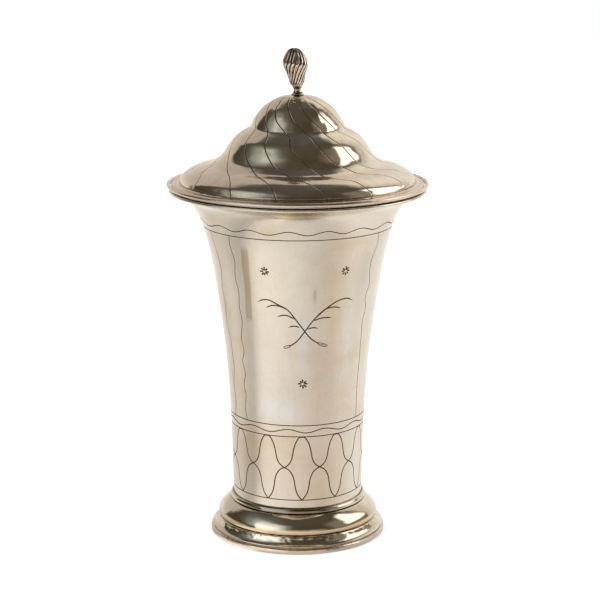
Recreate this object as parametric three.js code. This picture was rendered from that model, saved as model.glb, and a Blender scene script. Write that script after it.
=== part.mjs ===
// Lidded beaker-shaped ciborium in silver sheet, with a three-tiered spiral cover and fluted finial.
// Millimetres, +Z up. The origin is the centre of the foot's underside; the front faces -Y.
// Each piece is one closed body, and a working gap separates it from its neighbours.

import * as THREE from 'three';
import { mergeVertices } from 'three/addons/utils/BufferGeometryUtils.js';

const { clamp, degToRad, mapLinear } = THREE.MathUtils;

// ---------------------------------------------------------------- shared dimensions
const GAP = 0.3;               // clearance between neighbouring pieces
const TOTAL_HEIGHT = 280.0;    // foot to tip of the finial
const SEGMENTS = 40;           // facets round the large turned pieces
const SMALL_SEGMENTS = 24;     // facets round the finial's small rings
const STUD_SEGMENTS = 16;
const WELD_TOLERANCE = 1e-4;   // vertices closer than this are merged

// All profiles and outlines below are lists of [radius, height].

// ---------------------------------------------------------------- foot dimensions
const FOOT_RADIUS = 50.35;
const FOOT_FLAT_INNER = 47.5;  // the ring the vessel stands on
const FOOT_FLAT_OUTER = 49.3;
const BASE_THICKNESS = 0.9;
const BASE_TOP_Z = 9.2;
const TORUS_THICKNESS = 1.0;
const TORUS_RADIUS = 45.85;    // widest point of the foot's bulge
const TORUS_TOP_Z = 19.9;
const FILLET_RADIUS = 39.1;    // small moulding ring between bulge and wall
const FILLET_BORE_RADIUS = 36.5;
const FILLET_BOTTOM_Z = 20.25;
const FILLET_TOP_Z = 23.2;

const FOOT_EDGE_PROFILE = [
  [FOOT_FLAT_INNER, 0], [FOOT_FLAT_OUTER, 0], [50.1, 0.5], [FOOT_RADIUS, 1.4],
  [50.1, 2.5], [49.4, 3.1], [48.2, 3.1], [FOOT_FLAT_INNER, 2.4],
];

// Outer face, from the top shelf down.
const BASE_OUTER = [
  [43.3, BASE_TOP_Z], [45.4, BASE_TOP_Z], [46.15, 8.7], [46.5, 7.8],
  [46.95, 6.8], [47.6, 5.8], [48.45, 4.95], [49.4, 4.4],
];

// Outer face, from the top down.
const TORUS_OUTER = [
  [36.7, TORUS_TOP_Z], [38.8, TORUS_TOP_Z], [40.3, 19.5], [42.3, 18.0], [44.1, 16.0],
  [45.3, 13.9], [TORUS_RADIUS, 11.7], [45.8, 10.4], [45.1, 9.55], [43.7, 9.5],
];

const FILLET_PROFILE = [
  [FILLET_BORE_RADIUS, FILLET_BOTTOM_Z], [38.9, FILLET_BOTTOM_Z], [FILLET_RADIUS, 20.8],
  [38.9, 21.7], [38.4, 22.6], [37.6, FILLET_TOP_Z], [FILLET_BORE_RADIUS, FILLET_TOP_Z],
];

// ---------------------------------------------------------------- cup dimensions
const WALL_THICKNESS = 1.2;
const WALL_BOTTOM_Z = 23.6;
const WAIST_RADIUS = 37.15;    // bottom of the cup wall
const MOUTH_RADIUS = 70.9;     // end of the flared sheet, inside the lip wire
const MOUTH_Z = 199.6;
const FLOOR_TOP_Z = 25.4;
const FLOOR_THICKNESS = 1.2;
const FLOOR_RADIUS = WAIST_RADIUS - WALL_THICKNESS - GAP;
const LIP_WIRE = { ringRadius: 72.15, z: 200.35, wireRadius: 0.85, sides: 6 };

// Outer face, from the waist up to the mouth.
const WALL_OUTER = [
  [WAIST_RADIUS, WALL_BOTTOM_Z], [37.27, 31.0], [37.7, 44.2], [37.95, 57.5], [38.6, 70.8],
  [39.58, 88.5], [40.98, 106.2], [43.12, 123.9], [45.73, 141.6], [48.68, 159.3], [52.57, 177.0],
  [56.39, 186.9], [59.5, 192.4], [62.6, 195.7], [66.4, 198.0], [MOUTH_RADIUS, MOUTH_Z],
];

// ---------------------------------------------------------------- cover dimensions
const STUD_RADIUS = 1.45;      // stud through the crown
const BORE_RADIUS = STUD_RADIUS + GAP;

const COVER_EDGE_WIRE = { ringRadius: 73.0, z: 203.5, wireRadius: 1.1, sides: 8 };
const FLANGE_INNER_RADIUS = 64.6;
const FLANGE_BOTTOM_Z = 202.9;
const FLANGE_TOP_Z = 204.9;

const BEZEL_RADIUS = 58.3;     // collar that drops inside the mouth
const BEZEL_THICKNESS = 1.0;
const BEZEL_BOTTOM_Z = 194.2;
const BEZEL_SEAT_Z = 201.55;   // underside of the rim over the lip wire
const BEZEL_SEAT_RADIUS = 71.4;

const DOME_THICKNESS = 1.1;
const DOME_BASE_RADIUS = 66.55;
const DOME_BASE_Z = 205.4;
const DOME_CROWN_Z = 253.7;
const DOME_CREASES = 15;       // spiral creases that run over all three tiers
const CREASE_COLUMNS = 4;      // facets from one crease to the next
const CREASE_DEPTH = 0.3;
const PANEL_SWELL = 0.15;
// Movement of each facet edge, starting at a crease: valley, flank, mid-panel, flank.
const CREASE_MOVES = [-CREASE_DEPTH, 0.3 * PANEL_SWELL, PANEL_SWELL, 0.3 * PANEL_SWELL];
const CREASE_DIRECTION = { outward: 0.6, upward: 0.8 };
const CROWN_FADE = { startRadius: 6, width: 10 };                // creases grow outwards
const BASE_FADE = { startZ: DOME_BASE_Z + 0.5, height: 3 };      // and upwards

const FLANGE_PROFILE = [
  [FLANGE_INNER_RADIUS, FLANGE_BOTTOM_Z], [71.5, FLANGE_BOTTOM_Z], [71.6, 204.0],
  [70.6, 204.45], [66.6, FLANGE_TOP_Z], [FLANGE_INNER_RADIUS, FLANGE_TOP_Z],
];

// Outer face, three bulging tiers from the base edge to the crown.
const DOME_OUTER = [
  [DOME_BASE_RADIUS, DOME_BASE_Z], [66.1, 207.3], [64.3, 209.6], [61.0, 211.65],
  [55.4, 213.75], [49.9, 215.7], [44.4, 218.4],
  [42.1, 221.2], [40.2, 224.2], [37.7, 227.8], [34.15, 231.2], [30.3, 233.7], [26.7, 235.9],
  [25.4, 238.8], [22.9, 242.7], [19.2, 247.2], [14.6, 250.5], [9.2, 253.0], [5.0, 253.65],
  [BORE_RADIUS, DOME_CROWN_Z],
];

// [radius, angle of a crease from the front (-Y) in degrees]. Seen from above, the creases
// trail clockwise from the rim to the crown.
const CREASE_TWIST = [
  [4, -108], [9, -102], [13, -97], [18, -89], [22, -80], [27, -61.5], [33, -54],
  [38, -48], [42, -42], [45, -37], [50, -28], [55, -20], [60, -14], [66.6, -10.4],
];

// ---------------------------------------------------------------- finial dimensions
const SEAT_BOTTOM_Z = DOME_CROWN_Z + GAP;
const SEAT_TOP_Z = 254.6;
const NECK_BOTTOM_Z = SEAT_TOP_Z + GAP;
const NECK_TOP_Z = 258.0;
const BUD_BOTTOM_Z = NECK_TOP_Z + GAP;
const BUD_FLUTES = 18;
const FLUTE_COLUMNS = 3;       // facets from one flute to the next
const FLUTE_DEPTH = 0.5;
const BUD_TWIST = 1.2;         // radians over the bud's height
const FLUTE_START_RATE = 6;    // flutes reach full depth over 1/6 of the bud's height
const FLUTE_END_HEIGHT = 4;    // and fade out over this height below the tip

const STUD_BOTTOM_Z = 246.5;
const STUD_TOP_Z = 265.7;
const WASHER_RADIUS = 3.5;
const WASHER_BOTTOM_Z = 251.6;
const WASHER_TOP_Z = DOME_CROWN_Z - DOME_THICKNESS - GAP;
const NUT_ACROSS_FLATS = 5.5;
const NUT_HEIGHT = 2.4;
const NUT_BOTTOM_Z = WASHER_BOTTOM_Z - GAP - NUT_HEIGHT;
const NUT_BORE_SEGMENTS = 12;

const SEAT_PROFILE = [
  [BORE_RADIUS, SEAT_BOTTOM_Z], [3.4, SEAT_BOTTOM_Z], [3.6, 254.3],
  [3.2, SEAT_TOP_Z], [BORE_RADIUS, SEAT_TOP_Z],
];

const NECK_PROFILE = [
  [BORE_RADIUS, NECK_BOTTOM_Z], [2.9, NECK_BOTTOM_Z], [2.4, 255.4], [2.2, 256.1],
  [2.2, 256.7], [2.4, 257.4], [2.8, NECK_TOP_Z], [BORE_RADIUS, NECK_TOP_Z],
];

// Blind bore for the stud, from its end on the axis down to the mouth.
const BUD_BORE = [[0, 266.4], [BORE_RADIUS, 266.1], [BORE_RADIUS, BUD_BOTTOM_Z]];

const BUD_OUTER = [
  [3.0, BUD_BOTTOM_Z], [3.8, 260.0], [4.6, 262.4], [5.2, 264.9], [6.15, 267.6], [7.1, 269.9],
  [7.4, 271.0], [6.95, 273.3], [6.0, 275.5], [4.6, 277.6], [3.1, 279.1], [1.7, 279.75],
  [0, TOTAL_HEIGHT],
];

// ---------------------------------------------------------------- geometry helpers
// Welds the vertices, drops collapsed triangles and turns the faces outwards.
function finish(geometry) {
  geometry.deleteAttribute('normal');
  geometry.deleteAttribute('uv');
  const welded = mergeVertices(geometry, WELD_TOLERANCE);
  const positions = welded.getAttribute('position');
  const index = welded.getIndex().array;
  const corner = (i) => new THREE.Vector3().fromBufferAttribute(positions, i);
  const triangles = [];
  let signedVolume = 0;
  for (let i = 0; i < index.length; i += 3) {
    const [first, second, third] = index.slice(i, i + 3);
    if (first === second || second === third || first === third) continue;
    signedVolume += corner(first).dot(corner(second).cross(corner(third)));
    triangles.push([first, second, third]);
  }
  if (signedVolume < 0) triangles.forEach((triangle) => triangle.reverse());
  welded.setIndex(triangles.flat());
  welded.computeVertexNormals();
  return welded;
}

// Turns a profile about Z. `closed` profiles are rings; the others start and end on the axis.
// `bend` maps (radius, z, angle, column, point index) to a moved [radius, z, angle].
function turned(profile, { closed = true, segments = SEGMENTS, bend = null } = {}) {
  const points = closed ? [...profile, profile[0]] : profile;
  const lathe = new THREE.LatheGeometry(points.map(([r, z]) => new THREE.Vector2(r, z)), segments);
  // The lathe supplies the triangles; its vertices are placed afresh round Z.
  const positions = lathe.getAttribute('position');
  for (let i = 0; i <= segments; i++) {
    const column = i % segments;
    points.forEach(([profileRadius, profileZ], j) => {
      let place = [profileRadius, profileZ, column * 2 * Math.PI / segments];
      if (bend) place = bend(...place, column, j);
      const [radius, z, angle] = place;
      const vertex = i * points.length + j;
      positions.setXYZ(vertex, radius * Math.cos(angle), radius * Math.sin(angle), z);
    });
  }
  return finish(lathe);
}

// Moves a profile sideways, to the left of its direction of travel when distance is positive.
function offset(profile, distance) {
  return profile.map(([radius, z], i) => {
    const [radiusBefore, zBefore] = profile[Math.max(0, i - 1)];
    const [radiusAfter, zAfter] = profile[Math.min(profile.length - 1, i + 1)];
    const deltaRadius = radiusAfter - radiusBefore;
    const deltaZ = zAfter - zBefore;
    const length = Math.hypot(deltaRadius, deltaZ);
    return [radius - distance * deltaZ / length, z + distance * deltaRadius / length];
  });
}

// Closed section of a sheet. The offset face leaves out the points numbered in `skip`.
function sheet(outer, thickness, skip) {
  const inner = offset(outer, thickness).filter((_, i) => !skip.includes(i));
  return [...outer, ...inner.reverse()];
}

// Polygonal wire section whose flats lie at the wire's radius.
function wire({ ringRadius, z, wireRadius, sides }) {
  const cornerRadius = wireRadius / Math.cos(Math.PI / sides);
  return Array.from({ length: sides }, (_, i) => {
    const angle = (i + 0.5) * 2 * Math.PI / sides;
    return [ringRadius + cornerRadius * Math.cos(angle), z + cornerRadius * Math.sin(angle)];
  });
}

// Solid disc or rod on the axis.
const cylinder = (radius, bottom, top) => [[0, bottom], [radius, bottom], [radius, top], [0, top]];

// Reads a value from rows of [x, value], held constant past both ends.
function interpolate(rows, x) {
  const inside = clamp(x, rows[0][0], rows.at(-1)[0]);
  const next = Math.max(1, rows.findIndex(([rowX]) => inside <= rowX));
  const [startX, startValue] = rows[next - 1];
  const [endX, endValue] = rows[next];
  return mapLinear(inside, startX, endX, startValue, endValue);
}

// ---------------------------------------------------------------- shaped pieces
const cupFloor = () => turned(
  cylinder(FLOOR_RADIUS, FLOOR_TOP_Z - FLOOR_THICKNESS, FLOOR_TOP_Z),
  { closed: false },
);

// Shallow spiral valleys between gently swelling panels, on both faces of the sheet.
function lidDome() {
  return turned(sheet(DOME_OUTER, DOME_THICKNESS, [1, 4, 7, 9, 13, 16]), {
    segments: DOME_CREASES * CREASE_COLUMNS,
    bend(radius, z, angle, column) {
      const fade = clamp((radius - CROWN_FADE.startRadius) / CROWN_FADE.width, 0, 1)
        * clamp((z - BASE_FADE.startZ) / BASE_FADE.height, 0, 1);
      const move = fade * CREASE_MOVES[column % CREASE_COLUMNS];
      return [
        radius + CREASE_DIRECTION.outward * move,
        z + CREASE_DIRECTION.upward * move,
        angle + degToRad(interpolate(CREASE_TWIST, radius) - 90),
      ];
    },
  });
}

// L-shaped section: an upright collar with a flat rim at its top.
function lidBezel() {
  const innerRadius = BEZEL_RADIUS - BEZEL_THICKNESS;
  const topZ = BEZEL_SEAT_Z + BEZEL_THICKNESS;
  return turned([
    [innerRadius, BEZEL_BOTTOM_Z], [BEZEL_RADIUS, BEZEL_BOTTOM_Z], [BEZEL_RADIUS, BEZEL_SEAT_Z],
    [BEZEL_SEAT_RADIUS, BEZEL_SEAT_Z], [BEZEL_SEAT_RADIUS, topZ], [innerRadius, topZ],
  ]);
}

// Twisted flutes on the outside, with a plain bore.
function finialBud() {
  return turned([...BUD_BORE, ...BUD_OUTER], {
    closed: false,
    segments: BUD_FLUTES * FLUTE_COLUMNS,
    bend(radius, z, angle, column, point) {
      if (point < BUD_BORE.length) return [radius, z, angle];
      const rise = (z - BUD_BOTTOM_Z) / (TOTAL_HEIGHT - BUD_BOTTOM_Z);
      const fade = clamp(rise * FLUTE_START_RATE, 0, 1)
        * clamp((TOTAL_HEIGHT - z) / FLUTE_END_HEIGHT, 0, 1);
      const depth = column % FLUTE_COLUMNS === 0 ? FLUTE_DEPTH * fade : 0;
      return [radius - depth, z, angle + BUD_TWIST * rise];
    },
  });
}

const finialStud = () => turned(
  cylinder(STUD_RADIUS, STUD_BOTTOM_Z, STUD_TOP_Z),
  { closed: false, segments: STUD_SEGMENTS },
);

const smallRing = (profile) => turned(profile, { segments: SMALL_SEGMENTS });

const finialWasher = () => smallRing([
  [BORE_RADIUS, WASHER_BOTTOM_Z], [WASHER_RADIUS, WASHER_BOTTOM_Z],
  [WASHER_RADIUS, WASHER_TOP_Z], [BORE_RADIUS, WASHER_TOP_Z],
]);

// Hexagon nut with a bore round the stud.
function finialNut() {
  const cornerRadius = NUT_ACROSS_FLATS / 2 / Math.cos(Math.PI / 6);
  const hexagon = new THREE.Shape(Array.from({ length: 6 }, (_, i) => {
    const angle = i * Math.PI / 3;
    return new THREE.Vector2(cornerRadius * Math.cos(angle), cornerRadius * Math.sin(angle));
  }));
  hexagon.closePath();
  hexagon.holes.push(new THREE.Path().absarc(0, 0, BORE_RADIUS, 0, Math.PI * 2, true));
  const nut = new THREE.ExtrudeGeometry(hexagon, {
    depth: NUT_HEIGHT,
    bevelEnabled: false,
    curveSegments: NUT_BORE_SEGMENTS,
  });
  nut.translate(0, 0, NUT_BOTTOM_Z);
  return finish(nut);
}

// ---------------------------------------------------------------- assembly
const group = new THREE.Group();

function add(name, geometry, { color, roughness }) {
  const silver = new THREE.MeshStandardMaterial({ color, roughness, metalness: 1.0 });
  const mesh = new THREE.Mesh(geometry, silver);
  mesh.name = name;
  group.add(mesh);
}

const wall = sheet(WALL_OUTER, WALL_THICKNESS, [3, 5]);
add('cup_wall', turned(wall), { color: 0xcfc5b1, roughness: 0.34 });
add('cup_lip_wire', turned(wire(LIP_WIRE)), { color: 0xd6cab6, roughness: 0.22 });
add('cup_floor', cupFloor(), { color: 0xcfa85a, roughness: 0.3 });

// The foot's profiles run downwards, so their hollow side needs a negative offset.
const torus = sheet(TORUS_OUTER, -TORUS_THICKNESS, [1, 4, 8]);
const base = sheet(BASE_OUTER, -BASE_THICKNESS, [1, 3, 5]);
add('foot_fillet_ring', turned(FILLET_PROFILE), { color: 0xd2c7b3, roughness: 0.2 });
add('foot_torus', turned(torus), { color: 0xbfb59c, roughness: 0.16 });
add('foot_base', turned(base), { color: 0xc2b49a, roughness: 0.24 });
add('foot_edge_wire', turned(FOOT_EDGE_PROFILE), { color: 0xcabba3, roughness: 0.22 });

add('lid_dome', lidDome(), { color: 0xb4ad98, roughness: 0.18 });
add('lid_flange', turned(FLANGE_PROFILE), { color: 0xc7b9a2, roughness: 0.24 });
add('lid_edge_wire', turned(wire(COVER_EDGE_WIRE)), { color: 0xcdbda7, roughness: 0.2 });
add('lid_bezel', lidBezel(), { color: 0xc9b57a, roughness: 0.3 });

const HARDWARE = { color: 0xa8a08f, roughness: 0.4 };
add('finial_seat', smallRing(SEAT_PROFILE), { color: 0xb09468, roughness: 0.25 });
add('finial_neck', smallRing(NECK_PROFILE), { color: 0xa98d62, roughness: 0.25 });
add('finial_bud', finialBud(), { color: 0xb59f80, roughness: 0.22 });
add('finial_stud', finialStud(), HARDWARE);
add('finial_washer', finialWasher(), HARDWARE);
add('finial_nut', finialNut(), HARDWARE);

export default group;
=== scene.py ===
"""A silver covered cup: an engraved, flaring cup on a stepped foot, with a domed cover, spiral
creases in the dome and a fluted finial held by a stud and nut.

Pieces are measured in millimetres in the CAD frame and built in metres. The axis is +Z and the
foot stands on z = 0. The crossed branches face the front, -Y. An angle "theta" runs from the
front towards +X, which is the right as the camera sees it.
"""

import math

import bpy
import numpy as np
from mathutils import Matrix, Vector, kdtree
from mathutils.geometry import delaunay_2d_cdt


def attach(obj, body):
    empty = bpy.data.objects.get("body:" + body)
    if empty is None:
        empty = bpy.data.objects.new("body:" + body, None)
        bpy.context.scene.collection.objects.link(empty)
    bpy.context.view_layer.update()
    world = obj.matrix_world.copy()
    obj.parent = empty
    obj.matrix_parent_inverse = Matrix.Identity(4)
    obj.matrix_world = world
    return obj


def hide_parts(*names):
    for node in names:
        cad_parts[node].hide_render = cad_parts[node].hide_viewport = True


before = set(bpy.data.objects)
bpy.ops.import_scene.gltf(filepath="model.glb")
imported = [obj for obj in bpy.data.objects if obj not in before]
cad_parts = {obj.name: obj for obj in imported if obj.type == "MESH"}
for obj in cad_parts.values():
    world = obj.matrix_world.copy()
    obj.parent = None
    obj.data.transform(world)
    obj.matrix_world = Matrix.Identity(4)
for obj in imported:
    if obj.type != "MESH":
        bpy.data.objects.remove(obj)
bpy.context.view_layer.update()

MM = 0.001
TAU = 2 * math.pi
TO_DEGREES = 180 / math.pi
SEGMENTS = 240  # round the axis


# ---------------------------------------------------------------- curves

def even(points, step):
    """Points along a polyline at an even step, with their distance from the start."""
    points = np.array(points, float)
    along = np.concatenate([[0], np.cumsum(np.hypot(*np.diff(points, axis=0).T))])
    stops = np.linspace(0, along[-1], int(round(along[-1] / step)) + 1)
    columns = [np.interp(stops, along, points[:, axis]) for axis in (0, 1)]
    return np.stack(columns, 1), stops


def soften(points, step, sigma):
    """The polyline as an even, Gaussian-smoothed curve with its ends kept."""
    line, _ = even(points, step)
    reach = int(4 * sigma / step)
    weights = np.exp(-0.5 * (np.arange(-reach, reach + 1) * step / sigma) ** 2)
    weights /= weights.sum()
    head = 2 * line[0] - line[reach:0:-1]
    tail = 2 * line[-1] - line[-2:-reach - 2:-1]
    padded = np.vstack([head, line, tail])
    out = np.stack([np.convolve(padded[:, axis], weights, "valid") for axis in (0, 1)], 1)
    out[0], out[-1] = line[0], line[-1]
    return out


def spline(points, step):
    """Natural cubic spline through three or more 2-D points, sampled at about the step."""
    knots = np.concatenate([[0], np.cumsum(np.linalg.norm(np.diff(points, axis=0), axis=1))])
    count, gaps = len(points), np.diff(knots)
    system, target = np.zeros((count, count)), np.zeros((count, 2))
    system[0, 0] = system[-1, -1] = 1
    for i in range(1, count - 1):
        before, after = gaps[i - 1], gaps[i]
        system[i, i - 1], system[i, i], system[i, i + 1] = before, 2 * (before + after), after
        target[i] = 6 * ((points[i + 1] - points[i]) / after - (points[i] - points[i - 1]) / before)
    bend = np.linalg.solve(system, target)
    stops = np.linspace(0, knots[-1], max(3, int(math.ceil(knots[-1] / step)) + 1))
    i = np.clip(np.searchsorted(knots, stops, side="right") - 1, 0, count - 2)
    past, gap = (stops - knots[i])[:, None], gaps[i][:, None]
    left = gap - past
    return (
        bend[i] * left**3 / (6 * gap)
        + bend[i + 1] * past**3 / (6 * gap)
        + (points[i] / gap - bend[i] * gap / 6) * left
        + (points[i + 1] / gap - bend[i + 1] * gap / 6) * past
    )


def rounded(corners, steps=5, longest=1.2):
    """A closed section from (r, z, corner radius) rows, with arcs and divided long sides."""
    count, arcs = len(corners), []
    for i in range(count):
        last, corner, following = (np.array(corners[k % count][:2], float) for k in (i - 1, i, i + 1))
        back, ahead = last - corner, following - corner
        back_length, ahead_length = np.linalg.norm(back), np.linalg.norm(ahead)
        back, ahead = back / back_length, ahead / ahead_length
        turn = math.acos(float(back @ ahead))
        cut = min(corners[i][2] / math.tan(turn / 2), 0.49 * back_length, 0.49 * ahead_length)
        start, end = corner + back * cut, corner + ahead * cut
        for k in range(steps + 1):
            t = k / steps
            arcs.append((1 - t) ** 2 * start + 2 * t * (1 - t) * corner + t * t * end)
    section = []
    for i, start in enumerate(arcs):
        end = arcs[(i + 1) % len(arcs)]
        pieces = max(1, int(math.ceil(np.linalg.norm(end - start) / longest)))
        section += [start + (end - start) * k / pieces for k in range(pieces)]
    return np.array(section)


def circle(centre_r, centre_z, radius, count=28):
    """A round wire's section."""
    angle = np.linspace(0, TAU, count, endpoint=False)
    return np.stack([centre_r + radius * np.cos(angle), centre_z + radius * np.sin(angle)], 1)


def side(curve):
    """Unit normals to the right of a curve's direction."""
    along = np.gradient(curve, axis=0)
    along /= np.linalg.norm(along, axis=1)[:, None] + 1e-12
    return np.stack([along[:, 1], -along[:, 0]], 1)


def sheet(outer, thick):
    """A formed sheet's closed section: up the outside, then back along the inside."""
    return np.vstack([outer, (outer - side(outer) * thick)[::-1]])


def waves(seed, count, around, along):
    """A fixed sum of waves in (theta, distance), about 1 high, that closes round the axis."""
    random = np.random.default_rng(seed)
    turns = random.integers(around[0], around[1] + 1, count)
    rates = random.uniform(along[0], along[1], count) * random.choice([-1, 1], count)
    phases = random.uniform(0, TAU, count)

    def height(theta, distance):
        total = 0
        for turn, rate, phase in zip(turns, rates, phases):
            total = total + np.cos(turn * theta + rate * distance + phase)
        return total / math.sqrt(count / 2)

    return height


def smooth01(value, start, end):
    """0 at start, 1 at end, smoothly; start may be the larger."""
    t = np.clip((np.asarray(value, float) - start) / (end - start), 0, 1)
    return t * t * (3 - 2 * t)


def between(value, rise, fall):
    """1 between a rising and a falling edge, each given as (where 0 or 1 starts, where it ends)."""
    return smooth01(value, *rise) * smooth01(value, *fall)


def peak(value, centre, width):
    return np.exp(-((value - centre) / width) ** 2)


def place(theta, r, z):
    return np.stack([r * np.sin(theta), -r * np.cos(theta), z + 0 * theta], -1)


# ---------------------------------------------------------------- meshes

def new_object(mesh):
    ob = bpy.data.objects.new(mesh.name, mesh)
    bpy.context.scene.collection.objects.link(ob)
    return ob


def build(name, body, node, verts, faces, mats, index=None, flat=None, normals=None,
          layers=None):
    """One piece from millimetre vertices, riding its body and standing for its CAD node.

    index: material per face. flat: faces left unsmoothed. normals: one per vertex.
    layers: attribute values per vertex.
    """
    mesh = bpy.data.meshes.new(name)
    faces = faces if isinstance(faces, list) else faces.tolist()
    mesh.from_pydata((np.asarray(verts) * MM).tolist(), [], faces)
    for mat in mats:
        mesh.materials.append(mat)
    smooth = np.ones(len(mesh.polygons), bool) if flat is None else ~flat
    mesh.polygons.foreach_set("use_smooth", smooth)
    if index is not None:
        mesh.polygons.foreach_set("material_index", np.asarray(index, np.int32))
    for key, values in (layers or {}).items():
        values = np.asarray(values, np.float32)
        if values.ndim == 2:
            rgba = np.ones((len(values), 4), np.float32)
            rgba[:, :3] = values
            layer = mesh.attributes.new(key, "FLOAT_COLOR", "POINT")
            layer.data.foreach_set("color", rgba.ravel())
        else:
            mesh.attributes.new(key, "FLOAT", "POINT").data.foreach_set("value", values)
    mesh.update()
    if normals is not None:
        corners = np.zeros(len(mesh.loops), np.int32)
        mesh.loops.foreach_get("vertex_index", corners)
        sizes = np.zeros(len(mesh.polygons), np.int32)
        mesh.polygons.foreach_get("loop_total", sizes)
        facing = np.zeros(len(mesh.polygons) * 3, np.float32)
        mesh.polygons.foreach_get("normal", facing)
        facing = np.repeat(facing.reshape(-1, 3), sizes, axis=0)
        split = np.asarray(normals, np.float32)[corners]
        own = np.repeat(~smooth, sizes)
        split[own] = facing[own]
        mesh.normals_split_custom_set(split.tolist())
    ob = new_object(mesh)
    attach(ob, body)
    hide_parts(node)
    return ob


def grid_faces(rows, cols, wrap_rows=False):
    """Quads of a grid that closes round its columns, and round its rows if asked."""
    i = np.arange(rows if wrap_rows else rows - 1)[:, None]
    j = np.arange(cols)[None, :]
    below, above = i * cols, (i + 1) % rows * cols
    following = (j + 1) % cols
    corners = (below + j, below + following, above + following, above + j)
    return np.stack([corner.ravel() for corner in corners], 1)


def fan(start, cols, tip, turned=False):
    """Triangles from a ring of vertices to a tip; turned ones face the other way."""
    ring, following = start + np.arange(cols), start + (np.arange(cols) + 1) % cols
    pair = (following, ring) if turned else (ring, following)
    return np.stack([*pair, np.full(cols, tip)], 1).tolist()


def lathe(name, body, node, section, mats, bump=None, segments=SEGMENTS, index=None,
          crevice=None, warp=None, tone=None):
    """A closed section turned about the axis.

    bump, crevice and tone are functions of (theta, r, z): the skin's move along its normal in mm,
    and the values of the two attributes.
    """
    section = np.array(section, float)
    following = np.roll(section, -1, 0)
    area = 0.5 * np.sum(section[:, 0] * following[:, 1] - following[:, 0] * section[:, 1])
    if area < 0:
        section = section[::-1]
    following = np.roll(section, -1, 0)
    along = following - np.roll(section, 1, 0)
    along /= np.linalg.norm(along, axis=1)[:, None] + 1e-12
    theta = np.linspace(-math.pi, math.pi, segments, endpoint=False)[None, :]
    r, z = section[:, :1] + 0 * theta, section[:, 1:] + 0 * theta
    theta = theta + 0 * r
    skin_r, skin_z = r, z
    if bump is not None:
        lift = bump(theta, r, z)
        skin_r, skin_z = r + along[:, 1:] * lift, z - along[:, :1] * lift
    verts = place(theta, skin_r, skin_z).reshape(-1, 3)
    if warp is not None:
        verts = warp(verts)
    if index is not None:
        middle = 0.5 * (section + following)
        index = np.repeat(index(middle[:, 0], middle[:, 1]), segments)
    layers = {}
    if crevice is not None:
        layers["crevice"] = crevice(theta, r, z).ravel()
    if tone is not None:
        layers["tone"] = tone(theta, r, z).reshape(-1, 3)
    faces = grid_faces(len(section), segments, wrap_rows=True)
    return build(name, body, node, verts, faces, mats, index=index, layers=layers)


# ---------------------------------------------------------------- shader nodes

class Wire:
    """One output of a shader node; arithmetic on it adds Math nodes."""

    def __init__(self, net, node, output=0):
        self.net, self.node, self.output = net, node, output

    def out(self, output):
        return Wire(self.net, self.node, output)

    def __add__(self, other):
        return self.net.math("ADD", self, other)

    def __radd__(self, other):
        return self.net.math("ADD", other, self)

    def __sub__(self, other):
        return self.net.math("SUBTRACT", self, other)

    def __mul__(self, other):
        return self.net.math("MULTIPLY", self, other)

    def __truediv__(self, other):
        return self.net.math("DIVIDE", self, other)


class Net:
    """A short way to write a node tree."""

    def __init__(self, tree):
        self.tree = tree
        tree.nodes.clear()

    def add(self, kind, inputs=None, output=0, **settings):
        """A node with its inputs given by place or name, as wires or as values."""
        node = self.tree.nodes.new("ShaderNode" + kind)
        for key, value in settings.items():
            setattr(node, key, value)
        for key, value in (inputs or {}).items():
            if isinstance(value, Wire):
                self.tree.links.new(value.node.outputs[value.output], node.inputs[key])
            else:
                node.inputs[key].default_value = value
        return Wire(self, node, output)

    def math(self, operation, first, second=0.0, clamp=False):
        return self.add("Math", {0: first, 1: second}, operation=operation, use_clamp=clamp)

    def stretch(self, vector, scale):
        return self.add("VectorMath", {0: vector, 1: scale}, operation="MULTIPLY")

    def split(self, vector):
        parts = self.add("SeparateXYZ", {0: vector})
        return [parts.out(axis) for axis in range(3)]

    def theta(self, x, y):
        """Angle in radians from the front towards +X."""
        return self.math("ARCTAN2", x, y * -1.0)

    def fade(self, value, start, end, low=0.0, high=1.0, kind="SMOOTHSTEP"):
        """low at start, high at end."""
        inputs = {0: value, 1: start, 2: end, 3: low, 4: high}
        return self.add("MapRange", inputs, interpolation_type=kind)

    def slope(self, value, start, end, low=0.0, high=1.0):
        return self.fade(value, start, end, low, high, kind="LINEAR")

    def between(self, value, rise, fall):
        return self.fade(value, *rise) * self.fade(value, *fall)

    def noise(self, vector, scale, detail=2.0, rough=0.5, distort=0.0):
        inputs = {"Vector": vector, "Scale": scale, "Detail": detail, "Roughness": rough,
                  "Distortion": distort}
        return self.add("TexNoise", inputs)

    def mix(self, share, first, second, kind="MIX"):
        first, second = ((*c, 1) if isinstance(c, tuple) else c for c in (first, second))
        return self.add("Mix", {0: share, 6: first, 7: second}, output=2, data_type="RGBA",
                        blend_type=kind)

    def tint(self, first, second):
        return self.mix(1.0, first, second, "MULTIPLY")

    def grey(self, value):
        return self.add("CombineColor", {0: value, 1: value, 2: value})

    def ramp(self, value, stops):
        """Colour ramp from (position, grey level or rgb) rows."""
        wire = self.add("ValToRGB", {0: value})
        elements = wire.node.color_ramp.elements
        while len(elements) > 1:
            elements.remove(elements[-1])
        for i, (position, color) in enumerate(stops):
            element = elements.new(position) if i else elements[0]
            element.position = position
            element.color = (*(color if isinstance(color, tuple) else (color,) * 3), 1)
        return wire


def new_material(name):
    mat = bpy.data.materials.new(name)
    mat.use_nodes = True
    return mat, Net(mat.node_tree)


# ---------------------------------------------------------------- materials

UPRIGHT = (1, 1, 0.045)  # position scale that draws marks out up the piece
LEVEL = (0.045, 0.045, 1)  # and round it


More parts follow.
